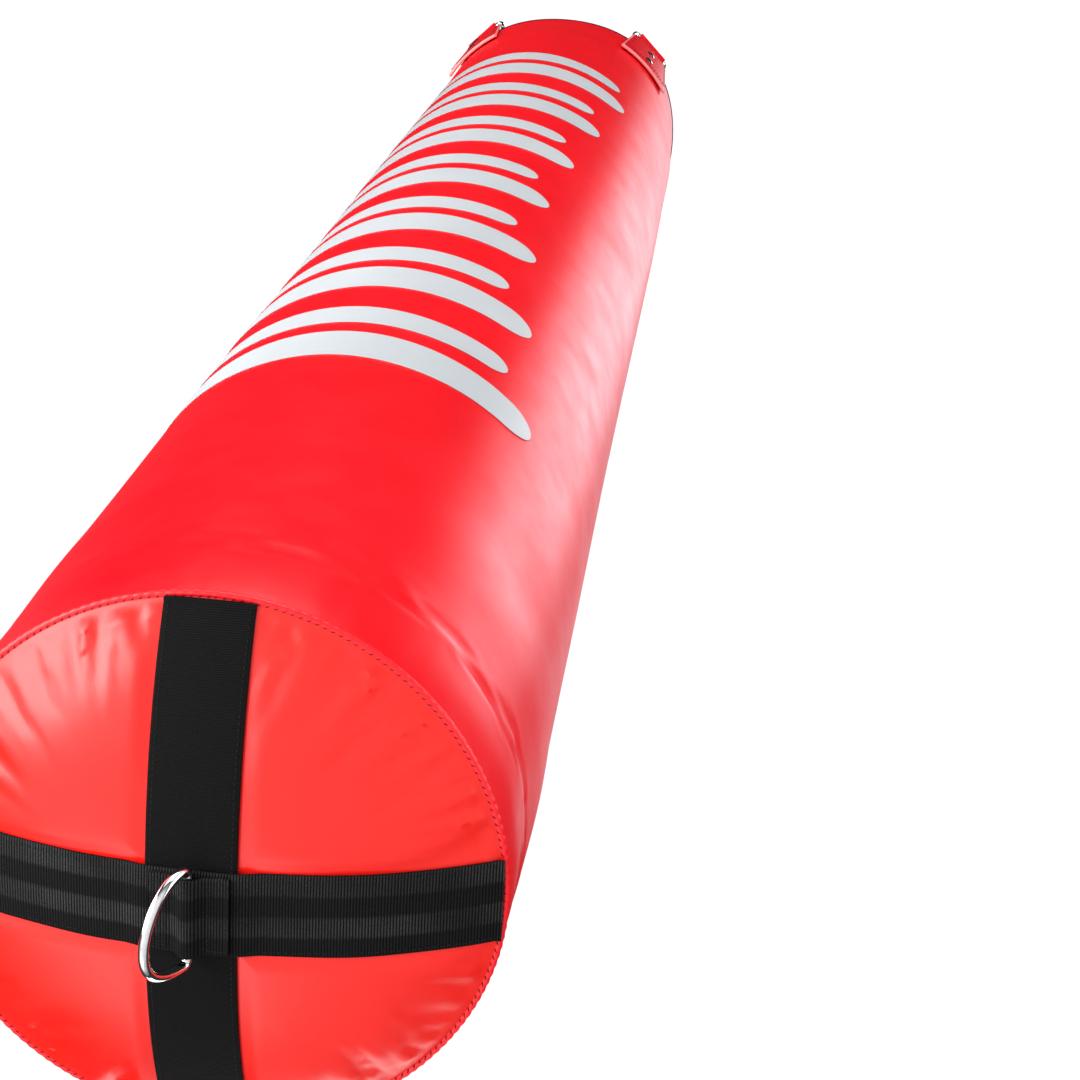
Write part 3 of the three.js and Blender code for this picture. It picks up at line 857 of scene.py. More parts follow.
def long_strap():
    half, reach = STRAP_WIDTH / 2, DOME_R + 0.0004

    def place(u, v):
        x, y = (u - 0.5) * STRAP_WIDTH, (v - 0.5) * 2 * reach
        edge = 1 - abs(x) / half
        y *= 1 - 0.006 * (1 - edge) ** 2
        curl = 0.0003 * smooth(1 - edge / 0.12)
        return Vector((x, y, strap_height(x, y, LONG_LIFT + STRAP_THICK - curl)))

    obj = grid(26, 140, place)
    outwards(obj)
    face_from(obj, ABOVE)
    thicken(obj, STRAP_THICK, -1.0, 0.0005)
    piece(obj, "bottom_strap_long_webbing", SMOOTH_BAND, "bag", "black_webbing", "bottom_strap_long")

    rows = []
    for side in (-1, 1):
        x = side * (half - 0.0030)
        line = []
        for i in range(121):
            y = (i / 120 - 0.5) * 2 * (reach - 0.004)
            z = strap_height(x, y, LONG_LIFT + STRAP_THICK + 0.0001)
            line.append((Vector((x, y, z)), Vector((0, 0, -1))))
        rows.append(run_of_stitches(line, 0.0036, 0.0026, 0.00032))
    piece(joined(rows), "bottom_strap_long_thread", BLACK_THREAD, "bag", "black_webbing", angle=60)


def cross_lift(x, y):
    crossing = smooth((STRAP_WIDTH / 2 + 0.014 - abs(x)) / 0.014)
    return LONG_LIFT + (CROSS_LIFT - LONG_LIFT) * crossing


def cross_strap():
    half, reach = STRAP_WIDTH / 2, DOME_R + 0.0004

    def place(u, v):
        x, y = (u - 0.5) * 2 * reach, (v - 0.5) * STRAP_WIDTH
        edge = 1 - abs(y) / half
        curl = 0.0003 * smooth(1 - edge / 0.12)
        wave = 0.0004 * math.sin(x * 90) * (1 - edge) ** 2
        return Vector((x, y, strap_height(x, y, cross_lift(x, y) + STRAP_THICK - curl + wave)))

    obj = grid(170, 26, place)
    outwards(obj)
    face_from(obj, ABOVE)
    thicken(obj, STRAP_THICK, -1.0, 0.0005)
    piece(obj, "bottom_strap_cross_webbing", RIBBED_BAND, "bag", "ribbed_webbing", "bottom_strap_cross")

    rows = []
    for side in (-1, 1):
        y = side * (half - 0.0030)
        for x0, x1 in ((-reach + 0.004, -0.030), (0.030, reach - 0.004)):
            line = []
            for i in range(81):
                x = x0 + (x1 - x0) * i / 80
                z = strap_height(x, y, cross_lift(x, y) + STRAP_THICK + 0.0001)
                line.append((Vector((x, y, z)), Vector((0, 0, -1))))
            rows.append(run_of_stitches(line, 0.0040, 0.0028, 0.00032))
    piece(joined(rows), "bottom_strap_cross_thread", BLACK_THREAD, "bag", "ribbed_webbing", angle=60)


def keeper():
    """The fold of webbing round the ring's bar, with its bartack and box stitching."""
    bore, wall = 0.0035, 0.0020
    outer = bore + wall
    foot, half = 0.022, 0.0235
    foot_z = STRAP_Z - GAP - wall / 2 - 0.0003
    profile = []
    for i in range(14):
        profile.append((-foot + (foot - outer - 0.0035) * i / 13, foot_z))
    middle = bore + wall / 2
    for i in range(1, 18):
        a = math.pi * i / 18
        profile.append((-middle * math.cos(a) * 1.02, TETHER_Z - middle * math.sin(a)))
    for i in range(14):
        profile.append((outer + 0.0035 + (foot - outer - 0.0035) * i / 13, foot_z))
    dense = []
    for (x0, z0), (x1, z1) in zip(profile, profile[1:]):
        dense += [(x0 + (x1 - x0) * k / 3, z0 + (z1 - z0) * k / 3) for k in range(3)]
    dense.append(profile[-1])
    for _ in range(4):
        dense = (
            [dense[0]]
            + [
                ((a[0] + 2 * b[0] + c[0]) / 4, (a[1] + 2 * b[1] + c[1]) / 4)
                for a, b, c in zip(dense, dense[1:], dense[2:])
            ]
            + [dense[-1]]
        )
    last = len(dense) - 1

    def place(u, v):
        x, z = dense[round(u * last)]
        y = (v - 0.5) * 2 * half
        edge = abs(v - 0.5) * 2
        return Vector((x, y * (1 - 0.02 * abs(math.sin(x * 180))), z + 0.0004 * edge**6))

    obj = grid(last, 30, place)
    outwards(obj)
    face_from(obj, ABOVE)
    thicken(obj, wall, 0.0, 0.0004)
    piece(obj, "ring_keeper_webbing", RIBBED_BAND, "bag", "ribbed_webbing", "ring_keeper")

    rows = []
    down = Vector((0, 0, -1))
    stitched_z = foot_z - wall / 2 - 0.0002

    def straight(x0, y0, x1, y1):
        a, b = Vector((x0, y0, stitched_z)), Vector((x1, y1, stitched_z))
        rows.append(run_of_stitches([(a, down), (b, down)], 0.0030, 0.0024, 0.00035))

    x0, x1, y1 = 0.0105, 0.0205, half - 0.003
    for y in (-y1, y1):
        straight(x0, y, x1, y)
    for x in (x0, x1):
        straight(x, -y1, x, y1)
    for i in range(26):
        y = -y1 + 2 * y1 * i / 25
        straight(-0.0205, y, -0.0110, y + 2 * y1 / 50)
    piece(joined(rows), "ring_keeper_thread", BLACK_THREAD, "bag", "ribbed_webbing", angle=60)


def d_outline(inside, depth, wire, lean=0.0, corner=0.004):
    """Centre line of a D-ring: its bar along X at y = 0, its bow out to y = depth and leaning to +X."""
    half = (inside + wire) / 2
    points = [(x / 12 * (half - corner), 0.0) for x in range(-11, 12)]
    for a in range(-90, 0, 15):
        t = math.radians(a)
        points.append((half - corner + corner * math.cos(t), corner + corner * math.sin(t)))
    for a in range(0, 181, 5):
        rise = math.sin(math.radians(a))
        x = half * math.cos(math.radians(a)) + lean * rise * rise
        points.append((x, corner + (depth - corner) * rise))
    for a in range(195, 271, 15):
        t = math.radians(a)
        points.append((corner - half + corner * math.cos(t), corner + corner * math.sin(t)))
    return points


def tether_ring():
    out = Vector((-math.sin(TETHER_TILT), 0, -math.cos(TETHER_TILT)))
    points = [
        Vector((0, x, TETHER_Z)) + out * y for x, y in d_outline(0.052, 0.036, 0.006, 0.006)
    ]
    obj = rod(points, 0.0030, closed=True, sides=20)
    piece(obj, "tether_ring_wire", CHROME, "tether_ring", "chrome_wire", "tether_ring", angle=60)


# ---- Hanging tabs, their webbing, rivets and D-rings ----


def on_tab(angle, side, z, lift):
    """A point beside a tab's middle line, on the cone, lifted from it. Angle is from +X."""
    r = cone_r(z)
    a = math.radians(angle) + side / r
    return Vector(((r + lift) * math.cos(a), (r + lift) * math.sin(a), z))


def tab_half_width(z):
    share = (z - TAB_LOW) / (TAB_HIGH - TAB_LOW)
    return 0.036 + (0.027 - 0.036) * min(max(share, 0), 1)


def tab(name, angle):
    low, high = TAB_LOW, TAB_HIGH

    def place(u, v):
        z = low + (high - low) * v
        side = (u - 0.5) * 2 * tab_half_width(z)
        edge = max(abs(u - 0.5) * 2, 1 - v * 14 if v < 0.07 else 0)
        lift = 0.0052 + 0.0022 * (1 - edge**6) * (0.6 + 0.4 * math.sin(v * math.pi))
        return on_tab(angle, side, z, lift)

    obj = grid(40, 56, place)
    centre = Vector((0, 0, RIM_Z))
    outwards(obj)
    face_from(obj, centre)
    thicken(obj, 0.0022, -1.0, 0.0006)
    piece(obj, "hanging_tab_skin_" + name, PATCH_VINYL, "bag", "cover_vinyl", "hanging_tab_" + name)

    edge_points = []
    for i in range(25):
        edge_points.append(on_tab(angle, (i / 24 - 0.5) * 2 * tab_half_width(low), low + 0.0006, 0.0046))
    piping = rod(edge_points, 0.0019, sides=10)
    sides = []
    for s in (-1, 1):
        line = []
        for i in range(25):
            z = low + 0.001 + (high - low - 0.001) * i / 24
            line.append(on_tab(angle, s * tab_half_width(z), z, 0.0044))
        sides.append(rod(line, 0.0013, sides=8))
    rim = joined([piping, *sides])
    piece(rim, "hanging_tab_piping_" + name, PIPING_PAINTED_HIGHLIGHT, "bag", "cover_vinyl", angle=60)

    rows = []
    for s in (-1, 1):
        line = []
        for i in range(30):
            z = low + 0.006 + (high - low - 0.009) * i / 29
            at = on_tab(angle, s * (tab_half_width(z) - 0.0045), z, 0.0076)
            line.append((at, Vector((at.x, at.y, 0)).normalized()))
        rows.append(run_of_stitches(line, 0.0042, 0.0030, 0.00038))
    for z in (low + 0.006, low + 0.012, high - 0.006):
        line = []
        for i in range(20):
            at = on_tab(angle, (i / 19 - 0.5) * 2 * (tab_half_width(z) - 0.0045), z, 0.0077)
            line.append((at, Vector((at.x, at.y, 0)).normalized()))
        rows.append(run_of_stitches(line, 0.0042, 0.0030, 0.00038))
    piece(joined(rows), "hanging_tab_thread_" + name, RED_THREAD, "bag", "cover_vinyl", angle=60)


def tab_webbing(name, angle):
    """Doubled webbing on the cover, folded round the D-ring's bar."""
    out = Vector((math.cos(math.radians(angle)), math.sin(math.radians(angle)), 0))
    across = Vector((-out.y, out.x, 0))
    centre = out * HANGER_BAR_R + Vector((0, 0, HANGER_BAR_Z))
    low, neck = LOOP_LOW, HANGER_BAR_Z - 0.009
    middle = 0.0046
    path = []
    for i in range(30):
        path.append((-0.0011, low + (neck - low) * i / 29 - HANGER_BAR_Z))
    for i in range(25):
        a = math.radians(215 - 250 * i / 24)
        path.append((middle * math.cos(a), middle * math.sin(a)))
    for i in range(30):
        path.append((0.0011, neck + (low - neck) * i / 29 - HANGER_BAR_Z))
    for _ in range(3):
        path = (
            [path[0]]
            + [
                ((a[0] + 2 * b[0] + c[0]) / 4, (a[1] + 2 * b[1] + c[1]) / 4)
                for a, b, c in zip(path, path[1:], path[2:])
            ]
            + [path[-1]]
        )
    last = len(path) - 1
    half = 0.021

    def place(u, v):
        radial, height = path[round(u * last)]
        side = (v - 0.5) * 2 * half
        wrap = cone_r(HANGER_BAR_Z + height) - RIM_R
        sink = smooth(-height / 0.03) * (wrap - RIM_R * (1 - math.cos(side / RIM_R)))
        return centre + out * (radial + sink) + across * side + Vector((0, 0, height))

    obj = grid(last, 14, place)
    outwards(obj)
    thicken(obj, 0.0018, 0.0, 0.0003)
    name_of = "tab_webbing_" + name
    piece(obj, name_of + "_fold", PATCH_VINYL, "bag", "cover_vinyl", name_of)


def rivet(name, angle):
    """Two domed rivets with a burr inside the cover."""
    turn = Matrix.Rotation(math.radians(angle), 4, "Z") @ Matrix.Rotation(math.pi / 2, 4, "Y")
    for level, below in RIVETS.items():
        r = cone_r(RIM_Z - below)
        head = r + 0.0076
        inner = r - 0.0026
        profile = [(0, inner - 0.0016), (0.0040, inner - 0.0016), (0.0045, inner - 0.0011)]
        profile += [(0.0045, inner), (0.0025, inner), (0.0025, head)]
        profile += [(0.0052, head), (0.0055, head + 0.0004)]
        for i in range(1, 6):
            a = math.radians(18 * i)
            profile.append((0.0052 * math.cos(a), head + 0.0004 + 0.0017 * math.sin(a)))
        obj = turned(profile, 28)
        obj.data.transform(Matrix.Translation((0, 0, RIM_Z - below)) @ turn)
        outwards(obj)
        node = f"rivet_{name}_{level}"
        piece(obj, node + "_head", CHROME, "bag", "rivet_metal", node)


def hang_points(name, angle):
    """Top link's place, the D-ring's bar and the way from bar to top link."""
    y = CHAIN_SLOTS[name] * 0.008
    lean = math.asin(y / GATHER_R)
    top = Vector((0, y, GATHER_Z - GATHER_R * math.cos(lean)))
    out = Vector((math.cos(math.radians(angle)), math.sin(math.radians(angle)), 0))
    bar = out * HANGER_BAR_R + Vector((0, 0, HANGER_BAR_Z))
    across = Vector((-out.y, out.x, 0))
    up = (top - bar).normalized()
    wire_way = Vector((0, math.cos(lean), math.sin(lean)))
    return top, bar, across, up, wire_way


def hanger_ring(name, angle):
    _, bar, across, up, _ = hang_points(name, angle)
    points = [bar + across * x + up * y for x, y in d_outline(0.046, HANGER_DEPTH, 0.006)]
    obj = rod(points, 0.0030, closed=True, sides=16)
    node = "hanger_ring_" + name
    piece(obj, node + "_wire", CHROME, "bag", "chrome_wire", node, angle=60)


def link(inside_length):
    """One link in the XY plane, its length along Y: a torus pulled apart across its middle."""
    deselect()
    bpy.ops.mesh.primitive_torus_add(
        major_radius=LINK_HALF_WIDTH, minor_radius=LINK_WIRE, major_segments=24, minor_segments=10
    )
    obj = bpy.context.object
    obj.rotation_euler = (0, 0, math.radians(7.5))
    bpy.ops.object.transform_apply(location=True, rotation=True, scale=True)
    straight = inside_length / 2 - LINK_HALF_WIDTH + LINK_WIRE
    for end in (-1, 1):
        for vertex in obj.data.vertices:
            vertex.select = vertex.co.y * end > 0
        for polygon in obj.data.polygons:
            polygon.select = all(obj.data.vertices[i].select for i in polygon.vertices)
        for edge in obj.data.edges:
            edge.select = all(obj.data.vertices[i].select for i in edge.vertices)
        bpy.ops.object.mode_set(mode="EDIT")
        bpy.ops.transform.translate(value=(0, end * straight, 0))
        bpy.ops.object.mode_set(mode="OBJECT")
    return obj


def chain(name, angle):
    top, bar, across, up, wire_way = hang_points(name, angle)
    bow = bar + up * HANGER_DEPTH
    down = -up
    bite = 0.0003
    span = (bow - top).length
    ends = GATHER_WIRE + RING_SLACK + 0.003 + GAP
    inside = (span + ends - (LINKS - 1) * bite) / LINKS

    def flatten(v):
        return (v - down * v.dot(down)).normalized()

    start, stop = flatten(wire_way), flatten(across)
    twist = start.angle(stop)
    if stop.cross(start).dot(down) > 0:
        twist = -twist
    places = []
    for i in range(LINKS):
        roll = i * math.pi / 2 + twist * i / (LINKS - 1)
        normal = Matrix.Rotation(roll, 3, down) @ start
        along = inside / 2 - GATHER_WIRE - RING_SLACK + i * (inside + bite)
        places.append(frame_of(down.cross(normal), down, normal, top + down * along))
    obj = copies(link(inside - 0.0002), places)
    node = "chain_" + name
    piece(obj, node + "_links", CHAIN_STEEL, "bag", "chain_steel", node, angle=60)


# ---- Gather ring and swivel ----


def gather_ring():
    points = []
    for i in range(96):
        a = 2 * math.pi * i / 96
        points.append((0, GATHER_R * math.cos(a), GATHER_Z + GATHER_R * math.sin(a)))
    obj = rod(points, GATHER_WIRE, closed=True, sides=18)
    piece(obj, "gather_ring_wire", CHROME, "gather_ring", "chrome_wire", "gather_ring", angle=60)


def swivel():
    circle = [
        (0.021 * math.cos(t), 0, -0.016 + 0.021 * math.sin(t))
        for t in (2 * math.pi * i / 72 for i in range(72))
    ]
    eye = rod(circle, 0.0050, closed=True, sides=16)
    neck = [(0, -0.084), (0.0060, -0.0835), (0.0060, -0.0565), (0.0065, -0.0560)]
    neck += [(0.0125, -0.0560), (0.0130, -0.0553), (0.0130, -0.0510), (0.0122, -0.0500)]
    neck += [(0.0090, -0.0480), (0.0078, -0.0430), (0.0080, -0.0380), (0, -0.0360)]
    shank = turned(neck, 40)
    obj = forged([eye, shank], 0.0006, 4)
    piece(obj, "swivel_eye_forging", FORGED, "swivel_eye", "forged_steel", "swivel_upper_eye")

    low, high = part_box("swivel_thrust_bearing")
    mid = (low.z + high.z) / 2
    race = [(0.0064, low.z), (0.0148, low.z), (0.0150, low.z + 0.0004), (0.0150, mid - 0.0008)]
    race += [(0.0141, mid - 0.0005), (0.0141, mid + 0.0005), (0.0150, mid + 0.0008)]
    race += [(0.0150, high.z - 0.0004), (0.0148, high.z), (0.0064, high.z), (0.0064, low.z)]
    obj = turned(race, 64)
    node = "swivel_thrust_bearing"
    piece(obj, node + "_race", BEARING, "swivel_yoke", "bearing_steel", node, angle=30)

    top = low.z - GAP
    legs = [(0.017, 0, top - 0.004 - 0.0165 * i / 6) for i in range(7)]
    bend_z = top - 0.004 - 0.033
    legs += [(0.017, 0, bend_z + 0.0165 * (1 - i / 6)) for i in range(1, 7)]
    for i in range(1, 24):
        a = -math.pi * i / 24
        legs.append((0.017 * math.cos(a), 0, bend_z + 0.017 * math.sin(a)))
    legs += [(-x, y, z) for x, y, z in reversed(legs[:13])]
    bow = rod(legs, 0.0045, sides=16)
    plate = [(0.0063, top), (0.0195, top), (0.0210, top - 0.0012), (0.0210, top - 0.0068)]
    plate += [(0.0195, top - 0.0080), (0.0063, top - 0.0080), (0.0063, top)]
    obj = forged([turned(plate, 64), bow], 0.0006, 4)
    piece(obj, "swivel_yoke_forging", FORGED, "swivel_yoke", "forged_steel", "swivel_yoke")

    nut_low, nut_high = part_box("swivel_nut")
    height = nut_high.z - nut_low.z
    deselect()
    bpy.ops.mesh.primitive_cylinder_add(
        vertices=6, radius=0.012, depth=height, location=(0, 0, (nut_low.z + nut_high.z) / 2)
    )
    nut = bpy.context.object
    nut.rotation_euler = (0, 0, 0)
    bpy.ops.object.transform_apply(location=True, rotation=True, scale=True)
    cone = turned([(0, nut_low.z), (0.0104, nut_low.z), (0.0124, nut_low.z + 0.0012),
                   (0.0124, nut_high.z - 0.0012), (0.0104, nut_high.z), (0, nut_high.z)], 48)
    bore = turned([(0, nut_low.z - 0.01), (0.0063, nut_low.z - 0.01),
                   (0.0063, nut_high.z + 0.01), (0, nut_high.z + 0.01)], 48)
    for tool, operation in ((cone, "INTERSECT"), (bore, "DIFFERENCE")):
        shape = nut.modifiers.new("cut", "BOOLEAN")
        shape.operation = operation
        shape.object = tool
        shape.solver = "EXACT"
        active(nut)
        bpy.ops.object.modifier_apply(modifier=shape.name)
        bpy.data.objects.remove(tool)
    piece(nut, "swivel_nut_hexagon", FORGED, "swivel_eye", "forged_steel", "swivel_nut", angle=25)


# ---- The zipped top ----


def rim_binding():
    r = RIM_R - 0.0026
    low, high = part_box("rim_binding")
    z = (low.z + high.z) / 2
    half_w, half_h = 0.0023, (high.z - low.z) / 2
    profile = []
    for i in range(13):
        a = 2 * math.pi * i / 12
        cx = math.copysign(abs(math.cos(a)) ** 0.6, math.cos(a))
        sz = math.copysign(abs(math.sin(a)) ** 0.6, math.sin(a))
        profile.append((r + half_w * cx, z + half_h * sz))
    obj = turned(profile, 192)
    follow_rim(obj)
    piece(obj, "rim_binding_tape", BINDING, "bag", "binding", "rim_binding")

    # A thin dark cord round the rim's outer top: partly the binding's folded edge, partly painted shade of the
    # rim's inner side.
    points = []
    for i in range(288):
        angle = 2 * math.pi * i / 288
        points.append(on_skin(angle, RIM_Z + 0.0002, -0.0003))
    edge = rod(points, 0.0012, closed=True, sides=8)
    piece(edge, "rim_edge_fold_and_painted_shade", BINDING, "bag", "binding", angle=60)


def lid_height(x, y):
    """Top of the lid: it sinks a little into the head room, with slack folds towards the zip."""
    r = math.hypot(x, y) / RIM_R
    slack = noise.noise(Vector((x * 16, y * 26, 3.0))) * 0.0009
    return RIM_Z - 0.0030 - 0.0012 * (1 - r * r) + slack * (1 - r**4) * smooth((abs(y) - 0.010) / 0.01)


def lid_half(name, sign):
    radius = RIM_R - 0.0026

    def place(u, v):
        near = 0.010
        angle_x = (u - 0.5) * 2 * math.sqrt(radius**2 - near**2)
        far = math.sqrt(max(radius**2 - angle_x**2, near**2))
        y = sign * (near + (far - near) * v)
        return Vector((angle_x, y, lid_height(angle_x, y)))

    obj = grid(120, 40, place)
    outwards(obj, 1e-7)
    face_from(obj, -ABOVE)
    follow_rim(obj)
    thicken(obj, 0.0014, -1.0, 0.0003)
    node = "top_panel_" + name
    piece(obj, node + "_skin", PATCH_VINYL, "bag", "cover_vinyl", node)

    rows = []
    up = Vector((0, 0, 1))
    for inset in (0.0030, 0.0065):
        line = []
        for i in range(101):
            x = (i / 100 - 0.5) * 0.262
            y = sign * (0.010 + inset)
            line.append((Vector((x, y, lid_height(x, y) + 0.0001)), up))
        rows.append(run_of_stitches(line, 0.0042, 0.0030, 0.0004))
    line = []
    for i in range(101):
        a = math.radians(6 + 168 * i / 100)
        x, y = (radius - 0.005) * math.cos(a), sign * (radius - 0.005) * math.sin(a)
        line.append((Vector((x, y, lid_height(x, y) + 0.0001)), up))
    rows.append(run_of_stitches(line, 0.0050, 0.0036, 0.0004))
    piece(joined(rows), node + "_thread", RED_THREAD, "bag", "cover_vinyl", angle=60)


def zip_side(name, sign):
    node = "zip_tape_" + name
    tape_z = RIM_Z - 0.0053
    inner, outer = 0.0022, 0.0185

    def place(u, v):
        x = (u - 0.5) * 0.248
        y = sign * (inner + (outer - inner) * v)
        return Vector((x, y, tape_z - 0.0003 * math.sin(math.pi * v)))

    tape = grid(124, 8, place)
    outwards(tape, 1e-7)
    thicken(tape, 0.0009, -1.0 if tape.data.polygons[0].normal.z > 0 else 1.0, 0.0002)
    piece(tape, node + "_cloth", ZIP_BAND, "bag", "zip_tape", node)

    tooth = slab((-0.00062, 0.0006, -0.0012), (0.00062, 0.0030, 0.0012), 0.0003)
    knob = slab((-0.00085, 0.0006, -0.0010), (0.00085, 0.0014, 0.0010), 0.0003)
    shape = joined([tooth, knob])
    places = []
    count = 92
    for i in range(count):
        x = -0.118 + 0.236 * (i + (0.25 if sign > 0 else 0.75)) / count
        flip = Matrix.Identity(4) if sign > 0 else Matrix.Rotation(math.pi, 4, "Z")
        places.append(Matrix.Translation((x, 0, RIM_Z - 0.0059)) @ flip)
    teeth = copies(shape, places)
    piece(teeth, node + "_teeth", ZIP_METAL, "bag", "zip_metal", angle=30)


def zip_slider():
    low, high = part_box("zip_slider")
    at = (low.x + high.x) / 2
    top = RIM_Z - 0.0026
    under = low.z
    parts = [
        slab((low.x, -0.005, top - 0.0015), (high.x, 0.005, top), 0.0006, 3),
        slab((low.x, -0.005, under), (high.x, 0.005, under + 0.0015), 0.0005, 3),
        slab((high.x - 0.005, -0.0005, under + 0.0005), (high.x - 0.001, 0.0005, top - 0.0005)),
    ]
    loop = []
    for i in range(17):
        a = math.pi * i / 16
        loop.append((at - 0.0029 * math.cos(a), 0, top - 0.0004 + 0.0034 * max(math.sin(a), 0) ** 0.7))
    parts.append(rod(loop, 0.0007, sides=10))
    obj = joined(parts)
    piece(obj, "zip_slider_body", ZIP_METAL, "zip_slider", "zip_metal", "zip_slider", angle=35)


def zip_pull():
    low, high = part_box("zip_pull")
    z = (low.z + high.z) / 2
    pin_x = high.x - 0.0008
    tip = low.x
    outline = []
    for i in range(25):
        a = math.radians(90 + 180 * i / 24)
        outline.append((tip + 0.0030 + 0.0030 * math.cos(a), 0.0034 * math.sin(a)))
    neck = [(pin_x - 0.008, -0.0030), (pin_x - 0.0005, -0.0032), (pin_x - 0.0005, 0.0032)]
    outline += [*neck, (pin_x - 0.008, 0.0030)]
    points = [(x, y, z) for x, y in outline]
    frame_wire = rod(points, 0.0008, closed=True, sides=10)
    blade = slab((tip + 0.0022, -0.0030, z - 0.0005), (pin_x - 0.0075, 0.0030, z + 0.0005), 0.0003, 2)
    obj = joined([frame_wire, blade])
    piece(obj, "zip_pull_tag", ZIP_METAL, "zip_pull", "zip_metal", "zip_pull", angle=35)


# ---- What the bag holds ----


def inside():
    """Foam wrap, bottom pad, liner sack and filling, with softened corners."""
    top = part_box("foam_wrap")[1].z
    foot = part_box("foam_wrap")[0].z

    def line(depth, low, high, count=12):
        made = []
        for i in range(count + 1):
            z = low + (high - low) * i / count
            made.append((cone_r(z) - depth, z))
        return made

    outer = line(0.0040, foot + 0.002, top - 0.002)
    inner = line(0.0222, foot + 0.002, top - 0.002)[::-1]
    foam = turned([*outer, (cone_r(top) - 0.006, top), (cone_r(top) - 0.020, top), *inner,
                   (cone_r(foot) - 0.020, foot), (cone_r(foot) - 0.006, foot), outer[0]], 96)
    piece(foam, "foam_wrap_roll", FOAM, "bag", "padding", "foam_wrap")

    low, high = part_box("bottom_pad")
    reach = 0.148
    pad = [(0, high.z), (reach - 0.004, high.z), (reach, high.z - 0.004)]
    for i in range(14):
        r = reach * max(math.cos(math.pi / 2 * i / 13), 0.0)
        pad.append((r, dome_z(r) + VINYL + 0.0012))
    obj = turned(pad, 96)
    piece(obj, "bottom_pad_disc", FOAM, "bag", "padding", "bottom_pad")

    low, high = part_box("liner_sack")
    depth = 0.0228
    outer = [(0, low.z), (cone_r(low.z) - depth - 0.010, low.z)] + line(depth, low.z + 0.010, top)
    inner = line(depth + 0.0012, low.z + 0.0112, top)[::-1]
    inner += [(cone_r(low.z) - depth - 0.0112, low.z + 0.0012), (0, low.z + 0.0012)]
    obj = turned([*outer, *inner], 96)
    piece(obj, "liner_sack_cloth", SACKING, "bag", "liner", "liner_sack")

    low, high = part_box("textile_filling")
    depth = 0.0246
    heap = [(0, low.z), (cone_r(low.z) - depth - 0.014, low.z)]
    heap += line(depth, low.z + 0.014, high.z - 0.012, 40)
    heap += [(cone_r(high.z) - depth - 0.012, high.z - 0.003)]
    heap += [(cone_r(high.z) * (1 - i / 10) - depth * (1 - i / 10) * 1.5, high.z - 0.001) for i in range(2, 10)]
    heap += [(0, high.z - 0.001)]
    obj = turned(heap, 96)
    for vertex in obj.data.vertices:
        at = vertex.co
        lump = noise.noise(at * 28) * 0.004
        if at.z > high.z - 0.004:
            at.z -= abs(lump)
        else:
            out = Vector((at.x, at.y, 0))
            if out.length > 1e-4:
                vertex.co = at - out.normalized() * abs(lump) * 0.5
    piece(obj, "textile_filling_rags", RAGS, "bag", "filling", "textile_filling")


# ---- Floor and light ----


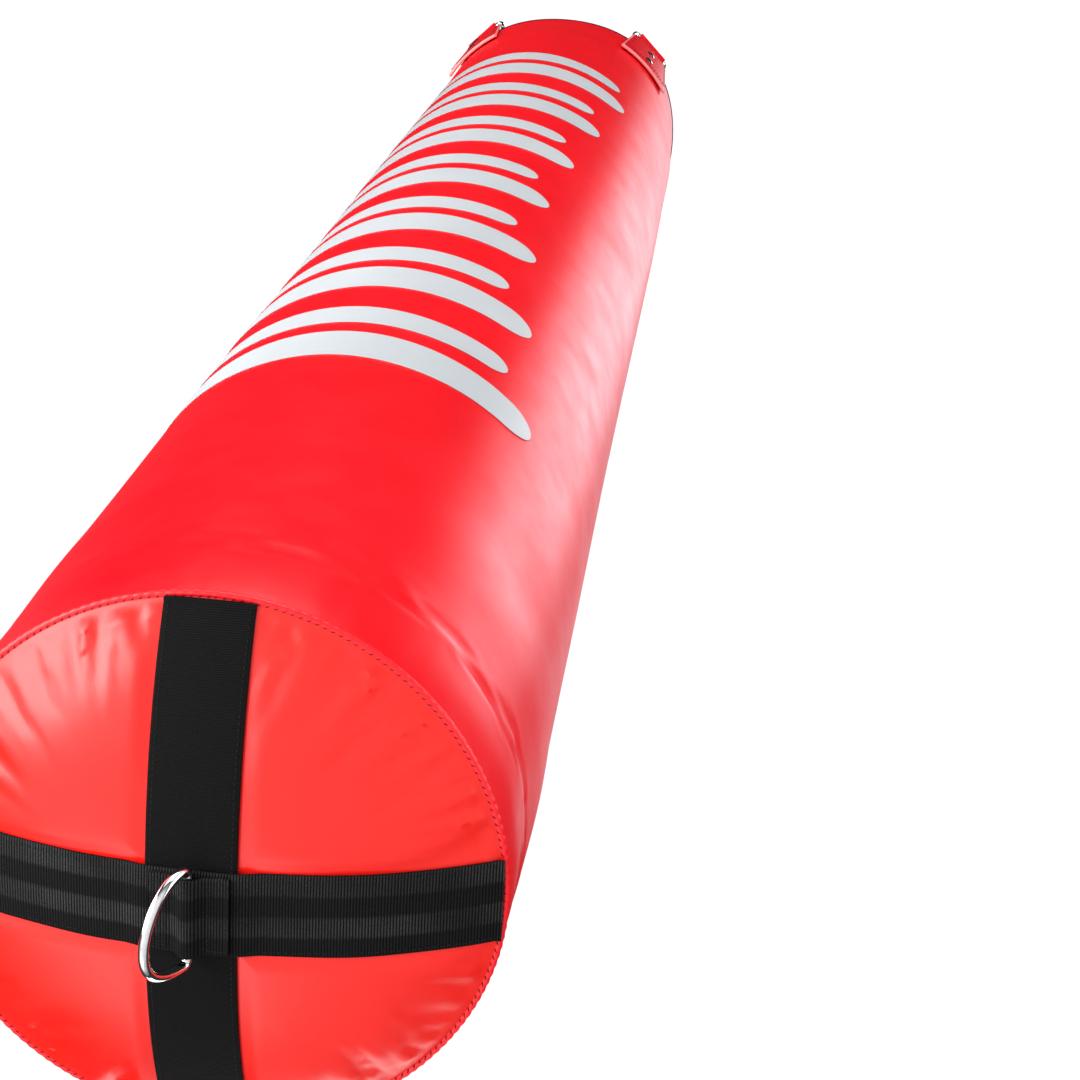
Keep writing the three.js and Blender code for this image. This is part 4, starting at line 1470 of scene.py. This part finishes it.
def studio():
    deselect()
    bpy.ops.mesh.primitive_plane_add(size=14, location=(0, 0, SEAM_Z - 1.42))
    floor = bpy.context.object
    floor.name = "floor"
    made, nodes, shader, place = material("pale_floor", roughness=0.8)
    tone = nodes.noise(place, 0.6, 3.0)
    feed(nodes, shader, nodes.tint(tone, (0.80, 0.80, 0.80), (0.86, 0.86, 0.86)))
    shader.inputs["Emission Color"].default_value = (1, 1, 1, 1)
    shader.inputs["Emission Strength"].default_value = 0.16  # keeps the far floor pale
    floor.data.materials.append(made)

    world = bpy.data.worlds.new("studio") if not bpy.context.scene.world else bpy.context.scene.world
    bpy.context.scene.world = world
    world.use_nodes = True
    nodes = Nodes(world.node_tree)
    background = world.node_tree.nodes["Background"]
    seen = nodes.add("ShaderNodeLightPath").outputs["Is Camera Ray"]
    light = nodes.tint(seen, (0.04, 0.04, 0.04), (1.05, 1.05, 1.05))
    world.node_tree.links.new(light, background.inputs["Color"])

    middle = Vector((0, 0, -1.8))
    foot = Vector((0, 0, SEAM_Z))
    for name, at, aim, size, power in (
        ("front_softbox", (-0.3, -3.2, -1.3), (0, 0, -1.6), (2.4, 2.6), 48),
        ("upper_front_softbox", (0.1, -2.2, -1.0), (0, 0, -0.8), (1.2, 1.0), 12),
        ("front_right_softbox", (1.6, -2.8, -1.8), middle, (2.0, 2.0), 14),
        ("left_softbox", (-3.0, -0.8, -1.8), middle, (2.0, 2.4), 72),
        ("right_softbox", (3.0, -0.8, -1.8), middle, (2.0, 2.4), 50),
        ("high_right_softbox", (1.5, 0.3, 2.4), (0.12, -0.06, -1.7), (1.6, 1.2), 23),
        ("high_back_softbox", (0.7, 1.7, 2.2), (0.12, -0.06, -1.7), (1.6, 1.4), 8),
        ("low_left_softbox", (-1.5, -0.9, -3.3), foot, (1.4, 1.2), 53),
        ("low_back_softbox", (-0.5, 1.0, -3.5), foot, (1.2, 0.9), 6),
        ("back_softbox", (0.4, 3.2, -1.2), middle, (2.4, 2.4), 45),
    ):
        deselect()
        bpy.ops.object.light_add(type="AREA", location=at)
        lamp = bpy.context.object
        lamp.name = name
        lamp.visible_camera = False
        lamp.data.shape = "RECTANGLE"
        lamp.data.size, lamp.data.size_y = size
        lamp.data.energy = power
        if name.startswith("high"):
            lamp.data.color = (1.0, 0.93, 1.0)
        way = (Vector(aim) - Vector(at)).normalized()
        lamp.rotation_euler = way.to_track_quat("-Z", "Y").to_euler()


# ---- Assembly ----

camera()
studio()
bpy.context.scene.view_settings.view_transform = "Standard"

cover()
bottom_panel()
bottom_seam()
back_seam()
front_print()
long_strap()
cross_strap()
keeper()
tether_ring()
for tab_name, tab_angle in TABS.items():
    tab(tab_name, tab_angle)
    tab_webbing(tab_name, tab_angle)
    rivet(tab_name, tab_angle)
    hanger_ring(tab_name, tab_angle)
    chain(tab_name, tab_angle)
gather_ring()
swivel()
rim_binding()
for half_name, half_sign in (("front", -1), ("back", 1)):
    lid_half(half_name, half_sign)
    zip_side(half_name, half_sign)
zip_slider()
zip_pull()
inside()
